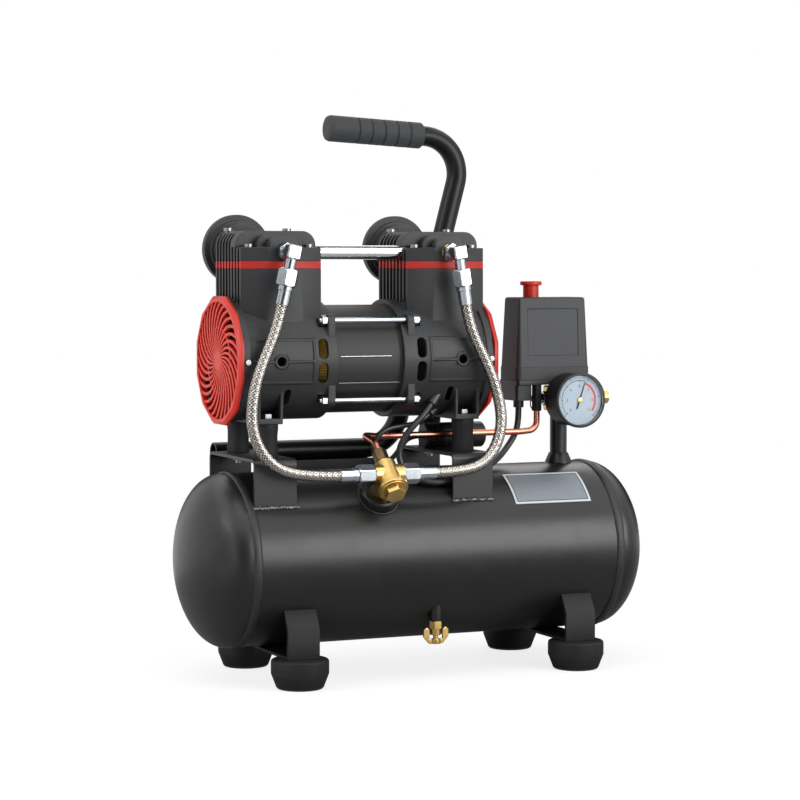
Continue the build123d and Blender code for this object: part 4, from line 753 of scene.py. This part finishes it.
def dialNumber(value, radius, turn):
    pickNone()
    bpy.ops.object.text_add()
    number = bpy.context.object
    number.data.body = str(value)
    number.data.size = dialPrint["numberSize"]
    number.data.align_x = "CENTER"
    number.data.align_y = "CENTER"
    bpy.ops.object.convert(target="MESH")
    number = bpy.context.object
    moveMesh(number, Matrix.Translation((radius * sin(radians(turn)), radius * cos(radians(turn)), 0)))
    return number


def setPrint(name, marks, finish):
    centre = dialPlace()[0]
    pickNone()
    for mark in marks:
        mark.select_set(True)
    bpy.context.view_layer.objects.active = marks[0]
    bpy.ops.object.join()
    card = bpy.context.object
    card.name = name
    ink = card.modifiers.new("ink", "SOLIDIFY")
    ink.thickness = dialPrint["ink"]
    ink.offset = 1
    applyModifiers(card)
    front = centre - Vector((0, dialPrint["lift"], 0))
    moveMesh(card, Matrix.Translation(front) @ Matrix.Rotation(pi / 2, 4, "X"))
    finishPiece(card, "frame", finish)


def printDial():
    radius = dialPlace()[1]
    sweep, steps = dialPrint["sweep"], dialPrint["steps"]
    black, red = [], []
    for step in range(steps + 1):
        turn = -sweep + 2 * sweep * step / steps
        isLong = step % dialPrint["longEvery"] == 0
        inner, outer = (share * radius for share in dialPrint["longTicks" if isLong else "ticks"])
        width = dialPrint["tickWidth"] * (dialPrint["longWidth"] if isLong else 1)
        black.append(dialTick(inner, outer, width, turn))
    inner, outer = (share * radius for share in dialPrint["arc"])
    black.append(dialBand(inner, outer, -sweep, dialPrint["redFrom"]))
    inner, outer = (share * radius for share in dialPrint["redArc"])
    red.append(dialBand(inner, outer, dialPrint["redFrom"], dialPrint["redTo"]))
    scale = dialPrint["innerNumbers"]
    for index, value in enumerate(scale):
        turn = -sweep + 2 * sweep * index / (len(scale) - 1)
        inner, outer = (share * radius for share in dialPrint["innerTicks"])
        ink = red if turn > dialPrint["redFrom"] else black
        if ink is black:
            ink.append(dialTick(inner, outer, dialPrint["longWidth"] * dialPrint["tickWidth"], turn))
        ink.append(dialNumber(value, dialPrint["numbers"] * radius, turn))
    setPrint("dial_marks", black, "blackInk")
    setPrint("dial_red_marks", red, "redInk")


# The turned brass pin that holds the needle
needlePin = {"radius": 2.5 * mm, "height": 0.6 * mm, "bevel": 0.25 * mm, "sides": 48}


def needlePinCap():
    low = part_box("gauge_needle")[0]
    centre = dialPlace()[0]
    pickNone()
    bpy.ops.mesh.primitive_cylinder_add(vertices=needlePin["sides"], radius=needlePin["radius"],
                                        depth=needlePin["height"])
    pin = bpy.context.object
    pin.name = "needle_pin"
    bpy.ops.object.mode_set(mode="EDIT")
    bpy.ops.mesh.select_all(action="DESELECT")
    bpy.ops.object.mode_set(mode="OBJECT")
    for face in pin.data.polygons:
        face.select = face.normal.z > 0.9
    bpy.ops.object.mode_set(mode="EDIT")
    bpy.ops.mesh.bevel(offset=needlePin["bevel"], segments=3, affect="EDGES")
    bpy.ops.object.mode_set(mode="OBJECT")
    bpy.ops.object.shade_smooth_by_angle(angle=radians(turnedAngle))
    front = Vector((centre.x, low.y - needlePin["height"] / 2, centre.z))
    moveMesh(pin, Matrix.Translation(front) @ Matrix.Rotation(pi / 2, 4, "X"))
    finishPiece(pin, "needle", "brass")


# The stem of the relief pin slides in a bore in the end of the safety valve
reliefStem = {
    "radius": 1.6 * mm,
    "inPin": 1.0 * mm,
    "inValve": 5.0 * mm,
    "bevel": 0.3 * mm,
    "bore": 1.8 * mm,
    "boreDepth": 6.0 * mm,
    "sides": 32,
}


def reliefBar(name, radius, depth):
    low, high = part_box("safety_valve")
    start = low.x - reliefStem["inPin"]
    length = reliefStem["inPin"] + depth
    middle = Vector((start + length / 2, (low.y + high.y) / 2, (low.z + high.z) / 2))
    pickNone()
    bpy.ops.mesh.primitive_cylinder_add(vertices=reliefStem["sides"], radius=radius, depth=length)
    bar = bpy.context.object
    bar.name = name
    moveMesh(bar, Matrix.Translation(middle) @ Matrix.Rotation(pi / 2, 4, "Y"))
    return bar


def slideRelief():
    valve = bpy.data.objects["safety_valve_soft"]
    drill = reliefBar("relief_drill", reliefStem["bore"], reliefStem["boreDepth"])
    cut = valve.modifiers.new("bore", "BOOLEAN")
    cut.operation = "DIFFERENCE"
    cut.object = drill
    applyModifiers(valve)
    bpy.ops.object.shade_smooth_by_angle(angle=radians(softAngle))
    bpy.data.objects.remove(drill, do_unlink=True)
    stem = reliefBar("relief_stem", reliefStem["radius"], reliefStem["inValve"])
    bpy.ops.object.mode_set(mode="EDIT")
    bpy.ops.mesh.select_all(action="DESELECT")
    bpy.ops.object.mode_set(mode="OBJECT")
    for face in stem.data.polygons:
        face.select = face.normal.x > 0.9
    bpy.ops.object.mode_set(mode="EDIT")
    bpy.ops.mesh.bevel(offset=reliefStem["bevel"], segments=2, affect="EDGES")
    bpy.ops.object.mode_set(mode="OBJECT")
    bpy.ops.object.shade_smooth_by_angle(angle=radians(turnedAngle))
    finishPiece(stem, "relief_ring", "zinc")


# A pale margin and a thin printed line inside the edge of the bare label
labelPrint = {
    "lift": 0.65 * mm,        # over the tank, just proud of the plate
    "ink": 0.06 * mm,
    "cuts": 16,
    # name, from and to in from the edge, finish, slot
    "bands": (("label_margin", 0.3 * mm, 2.3 * mm, "labelMargin", "label_silver"),
              ("label_border", 2.5 * mm, 3.1 * mm, "blackInk", "needle_black")),
}


def labelBand(name, near, far, finish, slot):
    low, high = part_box("label_plate")
    axisZ, radius = tankAxis()
    radius += labelPrint["lift"]
    upper = acos((high.z - axisZ) / radius)
    lower = asin(-low.y / radius)
    length, arc = high.x - low.x, (lower - upper) * radius
    pickNone()
    bpy.ops.mesh.primitive_plane_add(size=1)
    band = bpy.context.object
    band.name = name
    moveMesh(band, Matrix.Diagonal((length, arc, 1, 1)))
    bpy.ops.object.mode_set(mode="EDIT")
    bpy.ops.mesh.select_all(action="SELECT")
    bpy.ops.mesh.inset(thickness=near)
    bpy.ops.mesh.inset(thickness=far - near)
    bpy.ops.mesh.select_all(action="DESELECT")
    bpy.ops.mesh.select_mode(type="FACE")        # or the shared corners would pick every face
    bpy.ops.object.mode_set(mode="OBJECT")
    for face in band.data.polygons:
        edge = min(length / 2 - abs(face.center.x), arc / 2 - abs(face.center.y))
        face.select = not near < edge < far
    bpy.ops.object.mode_set(mode="EDIT")
    bpy.ops.mesh.delete(type="FACE")
    bpy.ops.mesh.select_mode(type="VERT")
    bpy.ops.mesh.select_all(action="SELECT")
    bpy.ops.mesh.subdivide(number_cuts=labelPrint["cuts"])
    bpy.ops.object.mode_set(mode="OBJECT")
    middle = (upper + lower) / 2
    for vertex in band.data.vertices:
        turn = middle - vertex.co.y / radius
        vertex.co = ((low.x + high.x) / 2 + vertex.co.x, -radius * sin(turn), axisZ + radius * cos(turn))
    band.data.update()
    ink = band.modifiers.new("ink", "SOLIDIFY")
    ink.thickness = labelPrint["ink"]
    ink.offset = 0
    applyModifiers(band)
    finishPiece(band, "frame", finish)


def labelBands():
    for row in labelPrint["bands"]:
        labelBand(*row)


# Sealing rings behind the two elbows on the heads
elbowRing = {
    "inner": 6.0 * mm,
    "outer": 8.0 * mm,
    "y": -43.0 * mm,
    "z": 392.0 * mm,
    "thickness": 1.6 * mm,
    "rings": (("left", -143.0 * mm, "rubber", "rubber_black"), ("right", 21.0 * mm, "brass", "brass")),
    "sides": 64,
}


def elbowRings():
    for name, x, finish, slot in elbowRing["rings"]:
        pickNone()
        bpy.ops.mesh.primitive_circle_add(vertices=elbowRing["sides"], radius=elbowRing["outer"], fill_type="NGON")
        ring = bpy.context.object
        ring.name = "elbow_ring_" + name
        bpy.ops.object.mode_set(mode="EDIT")
        bpy.ops.mesh.select_all(action="SELECT")
        bpy.ops.mesh.inset(thickness=elbowRing["outer"] - elbowRing["inner"])
        bpy.ops.mesh.delete(type="FACE")
        bpy.ops.object.mode_set(mode="OBJECT")
        wall = ring.modifiers.new("wall", "SOLIDIFY")
        wall.thickness = elbowRing["thickness"]
        wall.offset = 0
        edge = ring.modifiers.new("edge", "BEVEL")
        edge.width = elbowRing["thickness"] / 5
        edge.segments = 3
        edge.angle_limit = radians(softAngle)
        applyModifiers(ring)
        bpy.ops.object.shade_smooth_by_angle(angle=radians(turnedAngle))
        place = Matrix.Translation((x, elbowRing["y"], elbowRing["z"]))
        moveMesh(ring, place @ Matrix.Rotation(pi / 2, 4, "X"))
        finishPiece(ring, "frame", finish)


# Hoses and leads: the same route points as the solids, in metres
hose = {
    "diameter": 11.0 * mm,
    "carriers": 10,          # ribbons each way round
    "lead": 31.0 * mm,       # length of one full turn of a ribbon
    "wires": 3,              # wires side by side in a ribbon
    "ribbonWidth": 1.6 * mm,
    "ridge": 0.12,           # rise of a wire, as a share of its width
    "weave": 0.23 * mm,      # how far a ribbon rises over the next
    "cover": 0.62,           # share of a ribbon's full spread that it keeps
    "step": 0.45 * mm,
    "linerGap": 0.1 * mm,    # from the liner to the lowest ribbon
    "linerSides": 20,
    "linerSkip": 4,          # the liner takes each fourth point
}
hoseRoutes = {
    "hose_left": ((-0.153497, -0.062, 0.344650), (-0.158259, -0.062, 0.323171), (-0.1785, -0.0675, 0.284),
                  (-0.1852, -0.0695, 0.2535), (-0.1850, -0.0715, 0.2310), (-0.1750, -0.0735, 0.2095),
                  (-0.1570, -0.0755, 0.1954), (-0.1222, -0.0770, 0.1910), (-0.1042, -0.0770, 0.1910)),
    "hose_right": ((0.028587, -0.062, 0.344097), (0.032029, -0.062, 0.322368), (0.0510, -0.0675, 0.2840),
                   (0.0602, -0.0695, 0.2530), (0.0610, -0.0715, 0.2305), (0.0525, -0.0735, 0.2085),
                   (0.0355, -0.0755, 0.1948), (0.0082, -0.0770, 0.1910), (-0.0098, -0.0770, 0.1910)),
}
leadRoutes = {
    "motor_lead": ((0.1140, 0.0, 0.2440), (0.1140, 0.0, 0.2310), (0.1085, -0.004, 0.2180),
                   (0.0975, -0.008, 0.2060), (0.0850, -0.015, 0.1965), (0.0680, -0.027, 0.1905),
                   (0.0480, -0.039, 0.1860), (0.0250, -0.047, 0.1805), (0.0020, -0.049, 0.1785),
                   (-0.0150, -0.045, 0.1830), (-0.0260, -0.040, 0.1930), (-0.0295, -0.038, 0.2065),
                   (-0.0250, -0.0395, 0.2195), (-0.0165, -0.0415, 0.2310), (-0.004230, -0.041705, 0.242381),
                   (0.002991, -0.040501, 0.251889)),
    "capacitor_lead": ((0.007987, -0.025003, 0.241304), (-0.003249, -0.027812, 0.233439),
                       (-0.0200, -0.031, 0.2315), (-0.0380, -0.033, 0.2295), (-0.0475, -0.0325, 0.2225),
                       (-0.0510, -0.030, 0.2120), (-0.0475, -0.026, 0.2020), (-0.0380, -0.020, 0.1960),
                       (-0.0220, -0.008, 0.1990), (-0.0100, 0.001, 0.2080), (0.0010, 0.005, 0.2190),
                       (0.0150, 0.005, 0.2190)),
}
leadWidths = {"motor_lead": 6.0 * mm, "capacitor_lead": 4.8 * mm}


def routeCurve(name, points, width=0.0):
    line = bpy.data.curves.new(name, "CURVE")
    line.dimensions = "3D"
    line.resolution_u = 24
    spline = line.splines.new("NURBS")
    spline.points.add(len(points) - 1)
    for knot, point in zip(spline.points, points):
        knot.co = (*point, 1)
    spline.order_u = 3
    spline.use_endpoint_u = True
    line.bevel_depth = width / 2
    line.bevel_resolution = 5
    line.use_fill_caps = True
    piece = bpy.data.objects.new(name, line)
    bpy.context.scene.collection.objects.link(piece)
    return piece


def routePoints(points):
    # points along the smooth route, read from a bare curve
    guide = routeCurve("guide", points)
    mesh = bpy.data.meshes.new_from_object(guide)
    found = np.array([vertex.co for vertex in mesh.vertices])
    line = guide.data
    bpy.data.objects.remove(guide)
    bpy.data.curves.remove(line)
    bpy.data.meshes.remove(mesh)
    return found


def evenPoints(points, step):
    lengths = np.concatenate([[0], np.cumsum(np.linalg.norm(np.diff(points, axis=0), axis=1))])
    count = int(lengths[-1] / step)
    at = np.linspace(0, lengths[-1], count)
    return np.stack([np.interp(at, lengths, points[:, axis]) for axis in range(3)], axis=1), at


def carriedFrames(points):
    # two directions square to the route that turn as little as they can
    along = np.gradient(points, axis=0)
    along /= np.linalg.norm(along, axis=1)[:, None]
    side = np.cross(along[0], (0, 1, 0))
    sides = []
    for direction in along:
        side = side - direction * np.dot(side, direction)
        side /= np.linalg.norm(side)
        sides.append(side)
    sides = np.array(sides)
    return sides, np.cross(along, sides)


def braidedHose(name):
    route = routePoints(hoseRoutes[name])
    points, at = evenPoints(route, hose["step"])
    sides, ups = carriedFrames(points)
    wire = hose["ribbonWidth"] / hose["wires"]
    outer = hose["diameter"] / 2
    base = outer - wire * hose["ridge"] - 2 * hose["weave"]
    verts, faces = [], []

    def addRows(rows):
        # a strip of quads over rows of points
        start = sum(len(v) for v in verts)
        across = rows.shape[1]
        verts.append(rows.reshape(-1, 3))
        for row in range(rows.shape[0] - 1):
            for column in range(across - 1):
                a = start + row * across + column
                faces.append((a, a + 1, a + across + 1, a + across))

    ridge = np.linspace(-1, 1, 2 * hose["wires"] + 1)
    lift = np.where(np.arange(len(ridge)) % 2 == 1, wire * hose["ridge"], 0.0)
    turn = tau * at / hose["lead"]
    steepness = tau * outer / hose["lead"]
    slant = hose["ribbonWidth"] / 2 / outer * sqrt(1 + steepness ** 2) / steepness
    for way in (1, -1):
        for carrier in range(hose["carriers"]):
            angle = way * turn + tau * carrier / hose["carriers"]
            # over one ribbon, under the next
            beat = hose["carriers"] * turn - way * pi * carrier + (0 if way > 0 else pi)
            height = base + hose["weave"] * (1 + np.sin(beat))
            spread = angle[:, None] + ridge[None, :] * slant * hose["cover"]
            radius = height[:, None] + lift[None, :]
            rows = points[:, None, :] + radius[..., None] * (np.cos(spread)[..., None] * sides[:, None, :]
                                                            + np.sin(spread)[..., None] * ups[:, None, :])
            addRows(rows if way > 0 else rows[:, ::-1])
    ring = np.linspace(0, tau, hose["linerSides"] + 1)
    liner = base - hose["linerGap"]
    skip = hose["linerSkip"]
    rows = points[::skip, None, :] + liner * (np.cos(ring)[None, :, None] * sides[::skip, None, :]
                                             + np.sin(ring)[None, :, None] * ups[::skip, None, :])
    braidFaces = len(faces)
    addRows(rows)
    mesh = bpy.data.meshes.new(name + "_braid")
    mesh.from_pydata(np.concatenate(verts).tolist(), [], faces)
    piece = bpy.data.objects.new(name + "_braid", mesh)
    bpy.context.scene.collection.objects.link(piece)
    mesh.materials.append(finishes["braid"])
    mesh.materials.append(finishes["rubber"])
    inside = np.zeros(len(faces), np.int32)
    inside[braidFaces:] = 1
    mesh.polygons.foreach_set("material_index", inside)
    mesh.polygons.foreach_set("use_smooth", np.ones(len(faces), bool))
    pickOnly(piece)
    bpy.ops.object.mode_set(mode="EDIT")
    bpy.ops.mesh.select_all(action="SELECT")
    bpy.ops.mesh.remove_doubles(threshold=1e-7)      # closes the seam along the liner
    bpy.ops.object.mode_set(mode="OBJECT")
    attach(piece, "frame")
    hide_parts(name)
    print(name, "length", round(float(at[-1]), 4), "faces", len(faces))


def sheathedLead(name):
    route = routePoints(leadRoutes[name])
    piece = routeCurve(name + "_sheath", leadRoutes[name], leadWidths[name])
    dress(piece, "cable")
    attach(piece, "frame")
    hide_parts(name)


# The floor, lamps and dark cards
def seenWhite(finish):
    # one for the camera, in gloss and through glass, nought for soft light
    path = finish.node("ShaderNodeLightPath")
    rays = [Wire(finish, path.socket.node.outputs[name])
            for name in ("Is Camera Ray", "Is Glossy Ray", "Is Transmission Ray")]
    return rays[0].join("MAXIMUM", rays[0].join("MAXIMUM", rays[0], rays[1]), rays[2])


def setWorld():
    world = bpy.data.worlds.new("studio")
    world.use_nodes = True
    bpy.context.scene.world = world
    sky = Finish("sky", tree=world.node_tree)
    level = seenWhite(sky) * (room["white"] - room["worldLight"]) + room["worldLight"]
    light = sky.node("ShaderNodeBackground", None, {"Color": (1, 1, 1, 1), "Strength": level})
    out = sky.tree.nodes.new("ShaderNodeOutputWorld")
    sky.tree.links.new(light.socket, out.inputs["Surface"])


def addFloor():
    pickNone()
    bpy.ops.mesh.primitive_plane_add(size=room["floorSize"], location=(0, 0, 0))
    floor = bpy.context.object
    floor.name = "floor"
    paper = Finish("floorPaper", Base_Color=(0.9, 0.9, 0.9), Roughness=0.9, Specular_IOR_Level=0.0)
    glow = paper.node("ShaderNodeEmission", None, {"Color": (1, 1, 1, 1), "Strength": room["white"]})
    reach = paper.node("ShaderNodeVectorMath", {"operation": "LENGTH"}, {0: paper.place()}, out=1)
    nearBy, farOff = room["floorBlend"]
    far = paper.node("ShaderNodeMapRange", None, {0: reach, 1: nearBy, 2: farOff, 3: room["floorGlow"], 4: 1.0})
    share = seenWhite(paper) * far
    mixed = paper.node("ShaderNodeMixShader", None, {0: share, 1: Wire(paper, paper.shader.outputs[0]), 2: glow})
    paper.tree.links.new(mixed.socket, paper.out.inputs[0])
    floor.data.materials.append(paper.material)


def aimAt(holder, place, target):
    holder.location = place
    holder.rotation_euler = (Vector(target) - Vector(place)).to_track_quat("-Z", "Y").to_euler()


def addLamps():
    for name, place, size, power, target in room["lamps"]:
        lamp = bpy.data.lights.new(name, "AREA")
        lamp.shape = "RECTANGLE"
        lamp.size, lamp.size_y = size
        lamp.energy = power
        holder = bpy.data.objects.new(name, lamp)
        aimAt(holder, place, target)
        bpy.context.scene.collection.objects.link(holder)
    sun = bpy.data.lights.new("skyLight", "SUN")
    sun.energy = room["skyLight"]
    sun.angle = radians(room["skyAngle"])
    bpy.context.scene.collection.objects.link(bpy.data.objects.new("skyLight", sun))


def hangCards():
    for name, shade, place, size, target in room["cards"]:
        felt = Finish(name + "Felt", Base_Color=(shade, shade, shade), Roughness=1.0, Specular_IOR_Level=0.0)
        pickNone()
        bpy.ops.mesh.primitive_plane_add(size=1)
        card = bpy.context.object
        card.name = name
        card.scale = (*size, 1)
        aimAt(card, place, target)
        card.data.materials.append(felt.material)
        card.visible_camera = card.visible_diffuse = card.visible_shadow = False
        card.visible_transmission = False


addCamera()
setWorld()
addFloor()
addLamps()
hangCards()
mixFinishes()
dressNodes()
for hoseName in hoseRoutes:
    braidedHose(hoseName)
for leadName in leadRoutes:
    sheathedLead(leadName)
roundEdges()
endWelds()
legWelds()
bossWelds()
barrelSeams()
printDial()
needlePinCap()
slideRelief()
labelBands()
elbowRings()
print("small pieces added")

bpy.context.scene.view_settings.view_transform = "Standard"
